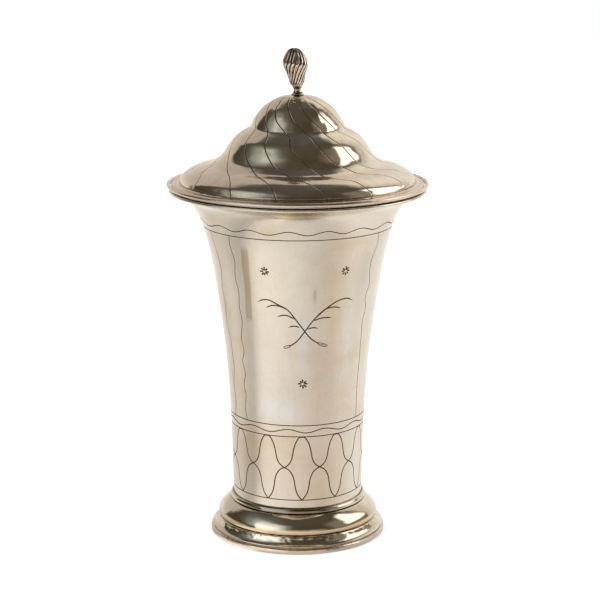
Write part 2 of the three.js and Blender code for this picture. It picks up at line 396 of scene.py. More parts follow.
def metal(name, color, rough, warm=(0.9, 0.78, 0.6), cool=(1.0, 1.05, 1.12), cloud=0.25,
          cloud_scale=38, brush=0.05, brush_axis=UPRIGHT, rough_vary=0.06, spots=0.15,
          spot_color=(0.45, 0.36, 0.25), bump=0.15, dents=0.0, dent_scale=120, crevice=None,
          tint_layer=False, stains=None, grain=0.7, mottle=0.0):
    """Worked metal: cloudy tarnish, polishing marks, dark specks, uneven gloss and skin.

    warm, cool, cloud: tints and strength of the tarnish. brush, grain: strength of the marks and
    share of fine ones. crevice: colour where the "crevice" attribute is high, which holds tarnish
    in hollows and joints and, on some pieces, painted shade. tint_layer: multiply by the "tone"
    attribute, which holds tarnish, polish, painted reflection and painted shade. stains: function
    that adds marks of its own.
    """
    mat, net = new_material(name)
    position = net.add("TexCoord", output="Object")
    # warm and cool clouds over the base colour
    col = net.tint(color, net.grey(1.0))
    clouds = net.noise(position, scale=cloud_scale, detail=3.0, rough=0.55, distort=0.4)
    col = net.mix(net.fade(clouds, 0.5, 0.72) * cloud, col, net.tint(color, warm))
    col = net.mix(net.fade(clouds, 0.48, 0.28) * (cloud * 0.8), col, net.tint(color, cool))
    # polishing marks, broad and fine
    drawn = net.stretch(position, brush_axis)
    streaks = net.noise(drawn, scale=700, detail=3.0, rough=0.6)
    fine = net.noise(drawn, scale=2600, rough=0.6)
    marks = (streaks - 0.5) * 1.0 + (fine - 0.5) * grain
    col = net.tint(col, net.grey(1.0 + marks * (brush * 2)))
    # specks that gather in wide patches
    specks = net.fade(net.noise(position, scale=520, detail=4.0, rough=0.65), 0.66, 0.76)
    gather = net.fade(net.noise(position, scale=30), 0.45, 0.62)
    specks = specks * gather * spots
    col = net.mix(specks, col, spot_color)
    if mottle:
        patchy = net.noise(position, scale=150, detail=4.0, rough=0.7, distort=0.6)
        patchy = net.fade(patchy, 0.4, 0.66) * mottle
        col = net.mix(patchy, col, net.tint(col, (0.80, 0.73, 0.62)))
    if tint_layer:
        col = net.tint(col, net.add("Attribute", output="Color", attribute_name="tone"))
    # gloss follows the clouds, marks and specks
    gloss = rough + (clouds - 0.5) * (rough_vary * 1.6)
    gloss = gloss + marks * rough_vary
    gloss = gloss + specks * 0.3
    if stains is not None:
        col, gloss = stains(net, col, gloss, position)
    if crevice is not None:
        # darker where the crevice attribute is high: tarnish in hollows and joints, and painted shade
        # on some pieces
        worn = net.add("Attribute", output="Fac", attribute_name="crevice")
        ragged = (net.noise(position, scale=300, detail=4.0, rough=0.6) - 0.5) * 0.7
        edge = net.math("MULTIPLY", worn + ragged, 1.0, clamp=True)
        tarnish_and_shade = net.fade(edge, 0.12, 0.85) * net.fade(worn, 0.0, 0.15)
        col = net.mix(tarnish_and_shade, col, crevice)
        gloss = gloss + tarnish_and_shade * 0.25
    gloss = net.math("MAXIMUM", gloss, 0.03)
    # fine relief, then shallow dents
    height = net.noise(position, scale=420, detail=3.0, rough=0.55) * 1.0 + marks * 0.5
    normal = net.add("Bump", {"Strength": bump, "Distance": 0.00006, "Height": height})
    if dents > 0:
        height = net.noise(position, scale=dent_scale, detail=1.0, rough=0.4)
        normal = net.add("Bump", {"Strength": dents, "Distance": 0.0004, "Height": height,
                                  "Normal": normal})
    surface = net.add("BsdfPrincipled", {"Base Color": col, "Metallic": 1.0, "Roughness": gloss,
                                         "Normal": normal})
    net.add("OutputMaterial", {"Surface": surface})
    return mat


def wall_stains(net, col, gloss, position):
    """A long rubbed brown stain, a small dark smudge and faint level scuffs on the wall."""
    x, y, z = net.split(position)
    angle = net.theta(x, y) * TO_DEGREES
    # the long stain leans: its middle moves from -36.9 to -34.3 degrees on the way up
    waver = (net.noise(position, scale=60) - 0.5) * 1.6
    middle = net.slope(z, 0.1335, 0.1755, -36.9, -34.3)
    off = net.math("ABSOLUTE", angle - middle + waver)
    stain = net.fade(off, 3.3, 2.0) * net.between(z, (0.1305, 0.1345), (0.1770, 0.172))
    stain = stain * (0.55 + net.noise(net.stretch(position, (1, 1, 0.2)), scale=150) * 0.7)
    share = net.math("MULTIPLY", stain, 0.95, clamp=True)
    col = net.mix(share, col, net.tint(col, (0.72, 0.65, 0.55)))
    # the smudge, an oval at 11.6 degrees
    across = (angle - 11.6) / 0.95
    up = (z - 0.1487) / 0.0029
    smudge = net.math("EXPONENT", (across * across + up * up) * -0.7)
    broken = net.noise(net.stretch(position, (1, 1, 0.4)), scale=900)
    smudge = smudge * net.fade(broken, 0.38, 0.6, low=0.4, high=1.0)
    col = net.mix(smudge, col, net.tint(col, (0.50, 0.43, 0.37)))
    gloss = gloss + stain * 0.05
    # the scuffs
    level = net.stretch(position, (0.25, 0.25, 1.0))
    scuff = net.fade(net.noise(level, scale=240, detail=4.0, rough=0.7), 0.62, 0.74)
    area = net.fade(net.noise(position, scale=26), 0.5, 0.6) * 0.35
    col = net.mix(scuff * area, col, net.tint(col, (0.76, 0.70, 0.62)))
    return col, gloss


WALL_SILVER = metal(
    "silver_wall", (0.81, 0.73, 0.62), 0.2, cloud=0.46, cloud_scale=30, brush=0.055,
    rough_vary=0.05, spots=0.24, spot_color=(0.5, 0.41, 0.3), bump=0.09, dents=0.04,
    dent_scale=60, tint_layer=True, stains=wall_stains, grain=0.3, mottle=0.16)
ENGRAVED = metal(
    "engraved_line", (0.15, 0.088, 0.046), 0.6, cloud=0.5, cloud_scale=90, brush=0.1, spots=0.4,
    spot_color=(0.05, 0.035, 0.02), bump=0.3)
GILT = metal(
    "gilt_inside", (0.86, 0.63, 0.30), 0.22, warm=(0.95, 0.82, 0.62), cool=(1.05, 1.08, 1.15),
    cloud=0.4, cloud_scale=45, brush_axis=LEVEL, rough_vary=0.07, spots=0.3,
    spot_color=(0.45, 0.28, 0.1), bump=0.25)
POLISH = dict(
    color=(0.77, 0.70, 0.59), cloud=0.35, cloud_scale=42, brush=0.03, brush_axis=LEVEL,
    rough_vary=0.05, spots=0.25, spot_color=(0.35, 0.29, 0.2), bump=0.08, dents=0.18,
    dent_scale=170, crevice=(0.17, 0.12, 0.075), grain=0.3, mottle=0.35)
POLISHED = metal("silver_polished", rough=0.11, **POLISH)
FOOT_SILVER = metal("silver_foot", rough=0.08, tint_layer=True, **POLISH)
DOME_SILVER = metal(
    "silver_dome", (0.79, 0.70, 0.59), 0.09, cloud=0.42, cloud_scale=36, brush=0.045,
    brush_axis=LEVEL, spots=0.4, spot_color=(0.35, 0.29, 0.2), bump=0.09, dents=0.26,
    dent_scale=150, crevice=(0.15, 0.10, 0.06), grain=0.3, mottle=0.42)
WORN_EDGE = metal(
    "silver_worn_edge", (0.75, 0.63, 0.53), 0.2, warm=(0.95, 0.82, 0.72), cloud=0.5,
    cloud_scale=60, brush_axis=LEVEL, rough_vary=0.08, spots=0.3, spot_color=(0.35, 0.26, 0.17),
    bump=0.16, dents=0.05, crevice=(0.25, 0.165, 0.10), grain=0.4)
FINIAL_SILVER = metal(
    "silver_finial", (0.86, 0.72, 0.60), 0.10, cloud=0.4, cloud_scale=120, brush=0.04,
    rough_vary=0.05, spots=0.25, spot_color=(0.25, 0.16, 0.1), bump=0.1,
    crevice=(0.075, 0.038, 0.02), grain=0.3)
FASTENER = metal(
    "turned_metal", (0.66, 0.62, 0.55), 0.24, cloud=0.3, cloud_scale=200, brush=0.08,
    brush_axis=LEVEL, spots=0.3, spot_color=(0.3, 0.25, 0.18), bump=0.25)
UNDERSIDE = metal(
    "silver_underside", (0.62, 0.55, 0.45), 0.36, cloud=0.5, cloud_scale=55, brush=0.06,
    brush_axis=LEVEL, spots=0.5, spot_color=(0.28, 0.21, 0.13), bump=0.35, dents=0.08)


# ---------------------------------------------------------------- cup wall, its surface

# outside of the wall, going up: (r, z)
WALL = [
    (37.15, 23.6), (37.27, 31), (37.38, 35.4), (37.53, 39.8), (37.7, 44.2), (37.86, 50.9),
    (37.95, 57.5), (38.16, 61.9), (38.3, 66.4), (38.6, 70.8), (38.82, 75.2), (39.03, 79.6),
    (39.31, 84.1), (39.58, 88.5), (39.9, 92.9), (40.26, 97.3), (40.6, 101.8), (40.98, 106.2),
    (41.53, 110.6), (42.09, 115), (42.58, 119.5), (43.12, 123.9), (43.76, 128.3), (44.33, 132.7),
    (45.15, 137.1), (45.73, 141.6), (46.39, 146), (46.97, 150.4), (47.74, 154.8), (48.68, 159.3),
    (49.5, 163.7), (50.43, 168.1), (51.52, 172.5), (52.57, 177), (53.6, 180.3), (55.29, 184.7),
    (57.43, 189.1), (60.0, 193.0), (62.9, 195.9), (66.4, 198.0), (70.9, 199.6),
]
WALL_THICK = 1.2
WALL_STEP = 0.25
WALL_COLS = 160
UNROLL_R = 45.0  # the wall is unrolled to (theta * UNROLL_R, distance up the section)


def wall_curve():
    """The wall smoothed strongly, but lightly in the flare."""
    wide, tight = soften(WALL, WALL_STEP, 7.0), soften(WALL, WALL_STEP, 1.6)
    share = smooth01(tight[:, 1], 172, 184)[:, None]
    curve = wide * (1 - share) + tight * share
    curve[0], curve[-1] = WALL[0], WALL[-1]
    return even(curve, WALL_STEP)


WALL_CURVE, WALL_ALONG = wall_curve()
WALL_LENGTH = WALL_ALONG[-1]
WALL_SIDE = side(WALL_CURVE)
wall_sway = waves(11, 7, (1, 4), (0.01, 0.06))
wall_ripple = waves(12, 9, (5, 16), (0.06, 0.25))


def wall_r(along):
    return np.interp(along, WALL_ALONG, WALL_CURVE[:, 0])


def wall_z(along):
    return np.interp(along, WALL_ALONG, WALL_CURVE[:, 1])


def along_at(z):
    """Distance up the wall's section at a height."""
    return np.interp(z, WALL_CURVE[:, 1], WALL_ALONG)


def wall_point(theta, along, lift=0.0):
    """A point on the uneven wall, moved out by lift."""
    out_r, out_z = (np.interp(along, WALL_ALONG, WALL_SIDE[:, axis]) for axis in (0, 1))
    calm = between(along, (0, 8), (WALL_LENGTH, WALL_LENGTH - 10))
    uneven = 0.07 * wall_sway(theta, along) + 0.012 * wall_ripple(theta, along)
    lift = lift + calm * uneven
    return place(theta, wall_r(along) + out_r * lift, wall_z(along) + out_z * lift)


def wall_normal(theta, along, lift=0.0):
    turn, rise = 1e-3, 0.3
    around = wall_point(theta + turn, along, lift) - wall_point(theta - turn, along, lift)
    above = wall_point(theta, np.minimum(along + rise, WALL_LENGTH), lift)
    below = wall_point(theta, np.maximum(along - rise, 0), lift)
    normal = np.cross(around, above - below)
    return normal / np.linalg.norm(normal, axis=1)[:, None]


# ---------------------------------------------------------------- cup wall, its engraving

THIN, MAIN = 0.27, 0.34  # half widths of border lines and scallops
BAND_LOW, BAND_HIGH = 28.1, 65.8  # heights of the lines below and above the scallops
SCALLOP_RISE = 37.5

# rows of (theta, distance up the wall, half width, depth, whether each end thins out)
engraving = []


def stroke(points, half, depth, taper=(0.0, 0.0), step=0.85):
    """A stroke through (degrees, z) points, thinning out over the taper length at each end."""
    points = np.array(points, float)
    unrolled = np.stack([np.radians(points[:, 0]) * UNROLL_R, along_at(points[:, 1])], 1)
    path = spline(unrolled, step)
    run = np.concatenate([[0], np.cumsum(np.linalg.norm(np.diff(path, axis=0), axis=1))])
    halves = np.full(len(path), float(half))
    for length, from_end in zip(taper, (run, run[-1] - run)):
        if length:
            halves *= 0.04 + 0.96 * smooth01(from_end, 0, length) ** 0.6
    ends = (bool(taper[0]), bool(taper[1]))
    for turn in (-TAU, 0, TAU):  # copies carry a stroke over the seam at the back
        theta = path[:, 0] / UNROLL_R + turn
        if theta.max() > math.radians(-191) and theta.min() < math.radians(191):
            engraving.append((theta, path[:, 1], halves, depth * halves / half, ends))


def ring_line(z, half, depth, crests=None, swing=0.0):
    """A line all the way round, level or waving by the swing with the given crest angles."""
    if crests is None:
        angle = np.arange(-192, 192.01, 1.5)
        height = np.full(len(angle), z)
    else:
        angle = np.arange(-192, 192.01, 0.75)
        crests = np.array(crests)
        crests = np.concatenate([crests - 360, crests, crests + 360])
        height = z + swing * np.cos(np.interp(angle, crests, np.arange(len(crests))) * TAU)
    engraving.append((np.radians(angle), along_at(height), np.full(len(angle), half),
                      np.full(len(angle), depth), (False, False)))


def spaced(first, count):
    """Crest angles: the given ones, then evenly round to close the circle."""
    gap = (first[0] + 360 - first[-1]) / (count - len(first) + 1)
    return first + [first[-1] + gap * (k + 1) for k in range(count - len(first))]


def engrave_borders():
    ring_line(180.9, THIN, 0.15)
    upper = spaced([-76, -50, -28.7, -5.2, 17.1, 38.3, 62.4], 16)
    ring_line(184.9, THIN + 0.02, 0.16, upper, swing=1.05)
    ring_line(72.3, THIN, 0.15)
    ring_line(BAND_HIGH, THIN, 0.15)
    ring_line(69.05, THIN + 0.02, 0.16, spaced([-40.7, -8.2, 22.9, 56.0], 11), swing=1.0)
    ring_line(BAND_LOW, THIN, 0.15)


# half a scallop: (degrees from its crest, share of its rise)
SCALLOP = [
    (0, 1), (2.6, 0.988), (4.3, 0.941), (5.4, 0.903), (6.0, 0.872), (7.3, 0.78), (8.6, 0.656),
    (9.6, 0.61), (11.3, 0.563), (13.5, 0.53), (15.7, 0.508), (18, 0.487), (20.1, 0.451),
    (22, 0.39), (23.3, 0.315), (24.2, 0.205), (25.3, 0.13), (26.6, 0.076), (28.3, 0.035),
    (29.9, 0),
]


def engrave_scallops():
    """Twelve bell shapes round the lower wall, each half stretched to meet its neighbour."""
    crests = spaced([-57.4, -26.8, 3.8, 34.7, 65.7], 12)
    reach = SCALLOP[-1][0]
    for k, crest in enumerate(crests):
        before = crests[k - 1] - (360 if k == 0 else 0)
        after = crests[(k + 1) % 12] + (360 if k == 11 else 0)
        points = [(crest - a / reach * (crest - before), h) for a, h in SCALLOP[:0:-1]]
        points += [(crest, 1.0)]
        points += [(crest + a / reach * (after - crest), h) for a, h in SCALLOP[1:]]
        stroke([(a, BAND_LOW + SCALLOP_RISE * h) for a, h in points], MAIN, 0.19)


# wavering upright lines between the panels, going down: (degrees, z)
UPRIGHT_1 = [
    (-64.6, 180.6), (-62.8, 169.8), (-61.6, 158.3), (-64.6, 147.4), (-64.2, 136.6),
    (-65.9, 128.1), (-63.2, 118.9), (-62.4, 107.8), (-62, 100.1), (-64.9, 91.6), (-63.7, 85),
    (-63.5, 78.8), (-66.4, 72.5),
]
UPRIGHT_2 = [
    (-44.3, 180.8), (-45.4, 174.7), (-43.8, 166.7), (-45.8, 156.6), (-44.4, 148.6), (-45.5, 138),
    (-44.4, 131.4), (-47.2, 119.5), (-45.9, 112.6), (-48.4, 106.9), (-46.4, 99.5), (-48.9, 93.3),
    (-47.3, 86.4), (-48.9, 81.1), (-47.4, 72.5),
]
UPRIGHT_3 = [
    (56.5, 180.7), (58.1, 172.8), (55.9, 166.8), (56.4, 156.8), (57.9, 150.2), (55.2, 143.6),
    (57.6, 136.2), (55.7, 130.6), (56.3, 124.1), (56.9, 115.7), (57.9, 106.7), (57.5, 97.3),
    (58, 89.5), (58.8, 76.9), (58.8, 72.5),
]


def engrave_uprights():
    """The three lines, then each again further round: (points, degrees moved)."""
    for points, shift in ((UPRIGHT_1, 0), (UPRIGHT_2, 0), (UPRIGHT_3, 0), (UPRIGHT_1, 148),
                          (UPRIGHT_3, 115), (UPRIGHT_2, 239)):
        stroke(np.array(points) + (shift, 0), 0.22, 0.14)


# the crossed branches: (degrees, z)
LEFT_BRANCH = [
    (-28.88, 143.73), (-26.54, 145.02), (-22.96, 145.84), (-18.97, 145.55), (-14.46, 143.73),
    (-7.37, 140.8), (-2.93, 136.63), (0.98, 132.46), (5.24, 127.89), (9.92, 123.6),
    (15.72, 120.61),
]
RIGHT_BRANCH = [
    (-5.91, 119.32), (-1.04, 121.84), (2.37, 124.83), (5.24, 127.89), (10.9, 134.05),
    (16.01, 138.04), (20.63, 140.97), (26.71, 143.91), (32.44, 145.37), (37.15, 145.26),
    (41.64, 143.44),
]
TWIGS = [
    [(-22.77, 140.97), (-19.87, 142.26), (-15.84, 142.85), (-11.91, 142.38), (-7.37, 140.8)],
    [(-14.83, 136.28), (-11.41, 137.16), (-7.47, 137.28), (-4.89, 136.39), (-2.29, 135.34)],
    [(-7.04, 130.17), (-4.34, 130.94), (-1, 131), (1.65, 130.29)],
    [(31.9, 140.21), (26.94, 141.21), (22.99, 141.21), (19.66, 140.33)],
    [(25.1, 135.1), (19.66, 135.57), (15.54, 135.16), (11.54, 134.05)],
    [(15.24, 129.24), (12.46, 130), (10.05, 129.94), (7.02, 129.12)],
]
# small closed loops at the lower ends of the branches
END_LOOPS = [
    [(14.96, 121.05), (17.82, 120.75), (21.27, 119.75), (22.74, 118.95), (21.68, 118.5),
     (19.04, 118.85), (15.76, 119.95)],
    [(-5.4, 119.75), (-7.3, 119.6), (-9.3, 119.1), (-10.4, 118.35), (-9.6, 117.95),
     (-7.8, 118.3), (-5.7, 118.95)],
]


def engrave_branches():
    stroke(LEFT_BRANCH, 0.37, 0.2, taper=(3.5, 0))
    stroke(RIGHT_BRANCH, 0.37, 0.2, taper=(0, 3.5))
    for twig in TWIGS:
        stroke(twig, 0.36, 0.18, taper=(2.6, 1.2))
    # hairlines beside the branches
    stroke([(-14.46, 143.2), (-12.2, 142.6), (-9.8, 141.8), (-7.37, 140.6)], 0.22, 0.15,
           taper=(1.6, 0.6))
    stroke([(11.54, 134.6), (14.0, 137.0), (17.0, 139.2), (20.2, 141.1)], 0.2, 0.15,
           taper=(1.6, 1.6))
    for loop in END_LOOPS:
        stroke(loop + [loop[0]], 0.2, 0.15, step=0.5)
    stroke([(15.9, 120.4), (18.4, 119.8), (21.6, 118.95)], 0.17, 0.12, taper=(1.5, 1.5))


def engrave_stars():
    """Three stars of eight short uneven strokes, at (degrees, z)."""
    random = np.random.default_rng(3)
    for middle, z in ((-21.6, 162.3), (32.6, 161.7), (4.1, 97.1)):
        radius = float(wall_r(along_at(z)))
        for k in range(8):
            angle = math.radians(45 * k + random.uniform(-5, 5))
            near, far = 0.5 + random.uniform(-0.1, 0.2), 2.65 + random.uniform(-0.3, 0.3)
            reach = np.linspace(near, far, 7)
            degrees = middle + np.degrees(reach * math.cos(angle) / radius)
            points = np.stack([degrees, z + reach * math.sin(angle)], 1)
            stroke(points, 0.46, 0.22, taper=(0.9, 0.35), step=0.3)


engrave_borders()
engrave_scallops()
engrave_uprights()
engrave_branches()
engrave_stars()


# ---------------------------------------------------------------- cup wall, its colour

# soft patches, partly tarnish and partly painted reflection:
# (degrees, z, spread in degrees, spread in z, tint)
PATCHES = [
    (-17, 79, 9, 7, (1.00, 1.10, 1.22)), (4.6, 120, 2.6, 9, (1.01, 1.09, 1.20)),
    (40.5, 117, 2.6, 14, (1.02, 1.08, 1.17)), (24, 128, 7, 30, (0.97, 0.93, 0.90)),
    (28, 160, 9, 16, (0.99, 0.94, 0.87)), (-58, 120, 14, 50, (0.95, 0.93, 0.88)),
    (22, 90, 14, 22, (0.96, 0.93, 0.90)), (0, 176, 20, 7, (0.985, 0.985, 0.98)),
    (-20, 150, 14, 18, (1.04, 1.03, 1.0)), (27, 43, 12, 15, (0.97, 0.915, 0.84)),
    (-38, 52, 8, 14, (0.97, 0.93, 0.86)), (-12, 45, 12, 15, (1.04, 1.04, 1.03)),
    (70, 110, 12, 60, (1.03, 1.04, 1.05)), (12, 100, 4, 40, (0.985, 0.98, 0.975)),
    (-5, 60, 8, 20, (0.99, 0.98, 0.96)), (-19, 185, 12, 5, (0.87, 0.86, 0.85)),
    (-10, 42, 19, 17, (0.93, 0.92, 0.90)), (8, 110, 12, 20, (0.975, 0.955, 0.985)),
    (25.5, 129, 3, 9, (1.0, 0.955, 0.875)), (-52, 54, 7, 12, (0.94, 0.90, 0.86)),
    (2, 50, 26, 13, (0.99, 0.955, 0.95)), (38, 86, 9, 12, (0.97, 0.96, 0.96)),
    (16, 96, 5, 12, (1.0, 0.965, 0.93)), (50, 162, 6, 14, (0.87, 0.86, 0.83)),
    (-9, 91, 7, 7, (0.94, 0.93, 0.92)), (17, 112, 7, 11, (1.01, 1.04, 1.08)),
    (0, 92, 6, 11, (0.985, 0.965, 0.96)), (43, 100, 4.5, 10, (1.0, 0.97, 0.96)),
]
# broad upright bands of painted reflection:
# (degrees, spread, strength, z of the rise, z of the fall)
BANDS = [
    (-49.5, 7.5, 0.19, (42, 100), (172, 145)), (19, 8.5, 0.10, (20, 40), (162, 140)),
    (47.5, 6.5, -0.085, (20, 30), (178, 160)),
]


def wall_tone(theta, along):
    """Tint of the wall's outside: patches of tarnish and painted reflection, upright bands of painted
    reflection, and panels of brighter and duller polish.
    """
    angle, z = np.degrees(theta), wall_z(along)
    tone = np.ones((len(along), 3))
    # patches, partly tarnish and partly painted reflection
    for middle, height, spread, spread_z, tint in PATCHES:
        share = np.exp(-0.5 * (((angle - middle) / spread) ** 2 + ((z - height) / spread_z) ** 2))
        tone *= 1 + share[:, None] * (np.array(tint) - 1)
    # upright bands of painted reflection, lighter and darker
    for middle, spread, strength, rise, fall in BANDS:
        share = strength * np.exp(-0.5 * ((angle - middle) / spread) ** 2)
        tone *= 1 + (share * between(z, rise, fall))[:, None]
    # the panel left of the front one is duller, and the front one is brighter inside its border
    border = np.interp(z, [p[1] for p in UPRIGHT_2[::-1]], [p[0] for p in UPRIGHT_2[::-1]])
    dull = between(angle, (border - 14, border - 5), (border + 0.6, border - 0.6))
    dull = dull * between(z, (66, 74), (190, 176))
    tone *= 1 - dull[:, None] * np.array([0.04, 0.045, 0.05])
    clear = between(angle, (border - 0.5, border + 1.5), (border + 26, border + 10))
    clear = clear * between(z, (66, 74), (190, 170))
    tone *= 1 + clear[:, None] * 0.02
    # two pale strips above the lower border
    pale = between(angle, (-11, -7.5), (-3.2, -4.4)) * between(z, (73.0, 74.5), (93, 86))
    other = between(angle, (-35, -31), (-20, -24)) * between(z, (75, 78), (89, 84))
    tone *= 1 + np.maximum(pale, other)[:, None] * np.array([0.005, 0.04, 0.10])
    # a brown rub at the front of the flare
    rub = peak(z, 197.3, 1.3) * between(angle, (-12, -7), (17, 12))
    return tone * (1 - rub[:, None] * np.array([0.22, 0.30, 0.42]))


# ---------------------------------------------------------------- cup wall, its mesh

FLARE = along_at(186.0)  # rows are closer together above this distance
SEAM = math.pi * UNROLL_R


def engraving_tree():
    """Close samples along every stroke, as (x, y, z, half width, depth), and a tree of them."""
    samples, finer = [], 8
    for theta, along, half, depth, _ in engraving:
        index = np.arange(len(theta))
        fine = (index[:-1, None] + np.arange(finer)[None, :] / finer).ravel()
        fine = np.append(fine, len(theta) - 1)
        theta, along, half, depth = (
            np.interp(fine, index, values) for values in (theta, along, half, depth))
        keep = (theta > -math.pi - 0.1) & (theta < math.pi + 0.1)
        spots = place(theta, wall_r(along), wall_z(along))
        samples.append(np.column_stack([spots, half, depth])[keep])
    samples = np.vstack(samples)
    tree = kdtree.KDTree(len(samples))
    for i, sample in enumerate(samples):
        tree.insert(sample[:3], i)
    tree.balance()
    return samples, tree


def wall_triangles(tree, columns):
    """Theta, distance and triangles of the outside, with edges along every groove."""
    points, edges = [], []

    def chain(across, up):
        start = len(points)
        points.extend(zip(across.tolist(), up.tolist()))
        edges.extend((start + i, start + i + 1) for i in range(len(across) - 1))

    for theta, along, half, _, ends in engraving:
        r = wall_r(along)
        run_x, run_y = np.gradient(theta) * r, np.gradient(along)
        length = np.hypot(run_x, run_y) + 1e-12
        out_x, out_y = -run_y / length, run_x / length
        chain(theta * UNROLL_R, along)
        for sign in (1, -1):
            across, up = (theta + sign * out_x * half / r) * UNROLL_R, along + sign * out_y * half
            for end, i in ((0, 0), (1, -1)):
                if ends[end]:
                    across[i], up[i] = theta[i] * UNROLL_R, along[i]
            chain(across, up)
        for end, i in ((0, 0), (1, -1)):
            if not ends[end]:  # a cap across a square end
                step_x, step_y = out_x[i] * half[i] / r[i], out_y[i] * half[i]
                across = np.array([theta[i] + step_x, theta[i], theta[i] - step_x]) * UNROLL_R
                chain(across, np.array([along[i] + step_y, along[i], along[i] - step_y]))
    rows = np.concatenate([np.linspace(0, FLARE, 70), np.linspace(FLARE, WALL_LENGTH, 26)[1:]])
    for across in (-SEAM, SEAM):
        chain(np.full(len(rows), across), rows)
    for up in (0.0, WALL_LENGTH):
        chain(columns * UNROLL_R, np.full(len(columns), up))
    # grid points that keep clear of the grooves
    clearance = 0.75
    for along in rows[1:-1]:
        for theta in columns[1:-1]:
            r = float(wall_r(along))
            spot = Vector((r * math.sin(theta), -r * math.cos(theta), float(wall_z(along))))
            if tree.find(spot)[2] > clearance:
                points.append((theta * UNROLL_R, float(along)))
    result = delaunay_2d_cdt([Vector(p) for p in points], edges, [], 0, 1e-5)
    flat = np.array([(v[0], v[1]) for v in result[0]])
    tris = np.array([f for f in result[2] if len(f) == 3], int)
    middle = flat[tris].mean(1)
    inside = (np.abs(middle[:, 0]) < SEAM) & (middle[:, 1] > 0) & (middle[:, 1] < WALL_LENGTH)
    tris = tris[inside]
    # face outwards: theta to the right, distance up
    first, to_second, to_third = (flat[tris[:, k]] for k in range(3))
    to_second, to_third = to_second - first, to_third - first
    cross = to_second[:, 0] * to_third[:, 1] - to_second[:, 1] * to_third[:, 0]
    tris[cross < 0] = tris[cross < 0][:, ::-1]
    tris = tris[np.abs(cross) > 1e-7]
    # close the seam at the back
    left = np.where(np.abs(flat[:, 0] + SEAM) < 1e-3)[0]
    right = np.where(np.abs(flat[:, 0] - SEAM) < 1e-3)[0]
    target = np.arange(len(flat))
    for i in right:
        target[i] = left[int(np.argmin(np.abs(flat[left, 1] - flat[i, 1])))]
    tris = target[tris]
    tris = tris[(tris != np.roll(tris, -1, 1)).all(1)]
    used = np.unique(tris)
    renumber = np.full(len(flat), -1)
    renumber[used] = np.arange(len(used))
    flat = flat[used]
    return flat[:, 0] / UNROLL_R, np.clip(flat[:, 1], 0, WALL_LENGTH), renumber[tris]


def cut_grooves(samples, tree, spots, tris):
    """Depth of the engraving at each vertex, and which triangles lie in a groove."""
    depth = np.zeros(len(spots))
    for i, spot in enumerate(spots):
        for _, k, distance in tree.find_range(spot, 0.32):
            inward = 1 - distance / max(samples[k, 3], 1e-3)
            if inward > 0.12:
                depth[i] = max(depth[i], samples[k, 4] * min(1.0, inward * 1.05))
    middle = spots[tris].mean(1)
    groove = depth[tris].max(1) > 0.012
    for i in np.where(groove)[0]:
        groove[i] = any(
            samples[k, 3] > 0.05 and distance < samples[k, 3] * 0.98 + 0.01
            for _, k, distance in tree.find_range(middle[i], 0.36))
    return depth, groove


def wall_rim():
    """The rolled top edge, from outside to inside: (r, z) of its points and of their normals."""
    out_r, out_z = WALL_SIDE[-1]
    top_r, top_z = WALL_CURVE[-1]
    half = WALL_THICK / 2
    centre = np.array([top_r - out_r * half, top_z - out_z * half])
    rim = []
    for k in range(1, 5):
        angle = math.pi * k / 5
        inward, upward = half * (1 - math.cos(angle)), 0.45 * math.sin(angle)
        point = np.array([top_r - out_r * inward - out_z * upward,
                          top_z - out_z * inward + out_r * upward])
        away = point - centre
        rim.append((point, away / np.linalg.norm(away)))
    return rim


def build_wall():
    samples, tree = engraving_tree()
    columns = np.linspace(-math.pi, math.pi, WALL_COLS + 1)
    theta, along, tris = wall_triangles(tree, columns)
    spots = place(theta, wall_r(along), wall_z(along))
    depth, groove = cut_grooves(samples, tree, spots, tris)

    # the rolled edge and the inside, on the same columns as the outside's ends
    columns = columns[:-1]
    rim = wall_rim()
    inner = np.concatenate([np.linspace(WALL_LENGTH, FLARE, 22), np.linspace(FLARE, 0, 56)[1:]])
    verts = [wall_point(theta, along, -depth)]
    verts += [place(columns, *point) for point, _ in rim]
    verts += [wall_point(columns, distance, -WALL_THICK) for distance in inner]
    normals = [wall_normal(theta, along)]
    normals += [place(columns, *away) for _, away in rim]
    normals += [-wall_normal(columns, distance, -WALL_THICK) for distance in inner]
    verts = np.vstack(verts)

    low = np.where(along < 1e-4)[0]
    high = np.where(along > WALL_LENGTH - 1e-4)[0]
    low, high = low[np.argsort(theta[low])], high[np.argsort(theta[high])]
    rings = np.arange(len(along), len(verts)).reshape(-1, WALL_COLS)
    rings = np.vstack([high[None, :], rings, low[None, :]])
    quads = np.vstack([
        np.stack([upper, np.roll(upper, -1), np.roll(lower, -1), lower], 1)
        for upper, lower in zip(rings[:-1], rings[1:])])
    index = np.concatenate([np.where(groove, 1, 0), np.full(len(quads), 2)])
    index[len(tris):len(tris) + len(rim) * WALL_COLS] = 0
    flat = np.concatenate([groove, np.zeros(len(quads), bool)])
    flat[-WALL_COLS:] = True
    tone = np.ones((len(verts), 3))
    tone[:len(along)] = wall_tone(theta, along)
    build("vessel_wall", "cup", "cup_wall", verts, tris.tolist() + quads.tolist(),
          [WALL_SILVER, ENGRAVED, GILT], index=index, flat=flat, normals=np.vstack(normals),
          layers={"tone": tone, "crevice": np.zeros(len(verts))})


build_wall()


# ---------------------------------------------------------------- cover dome

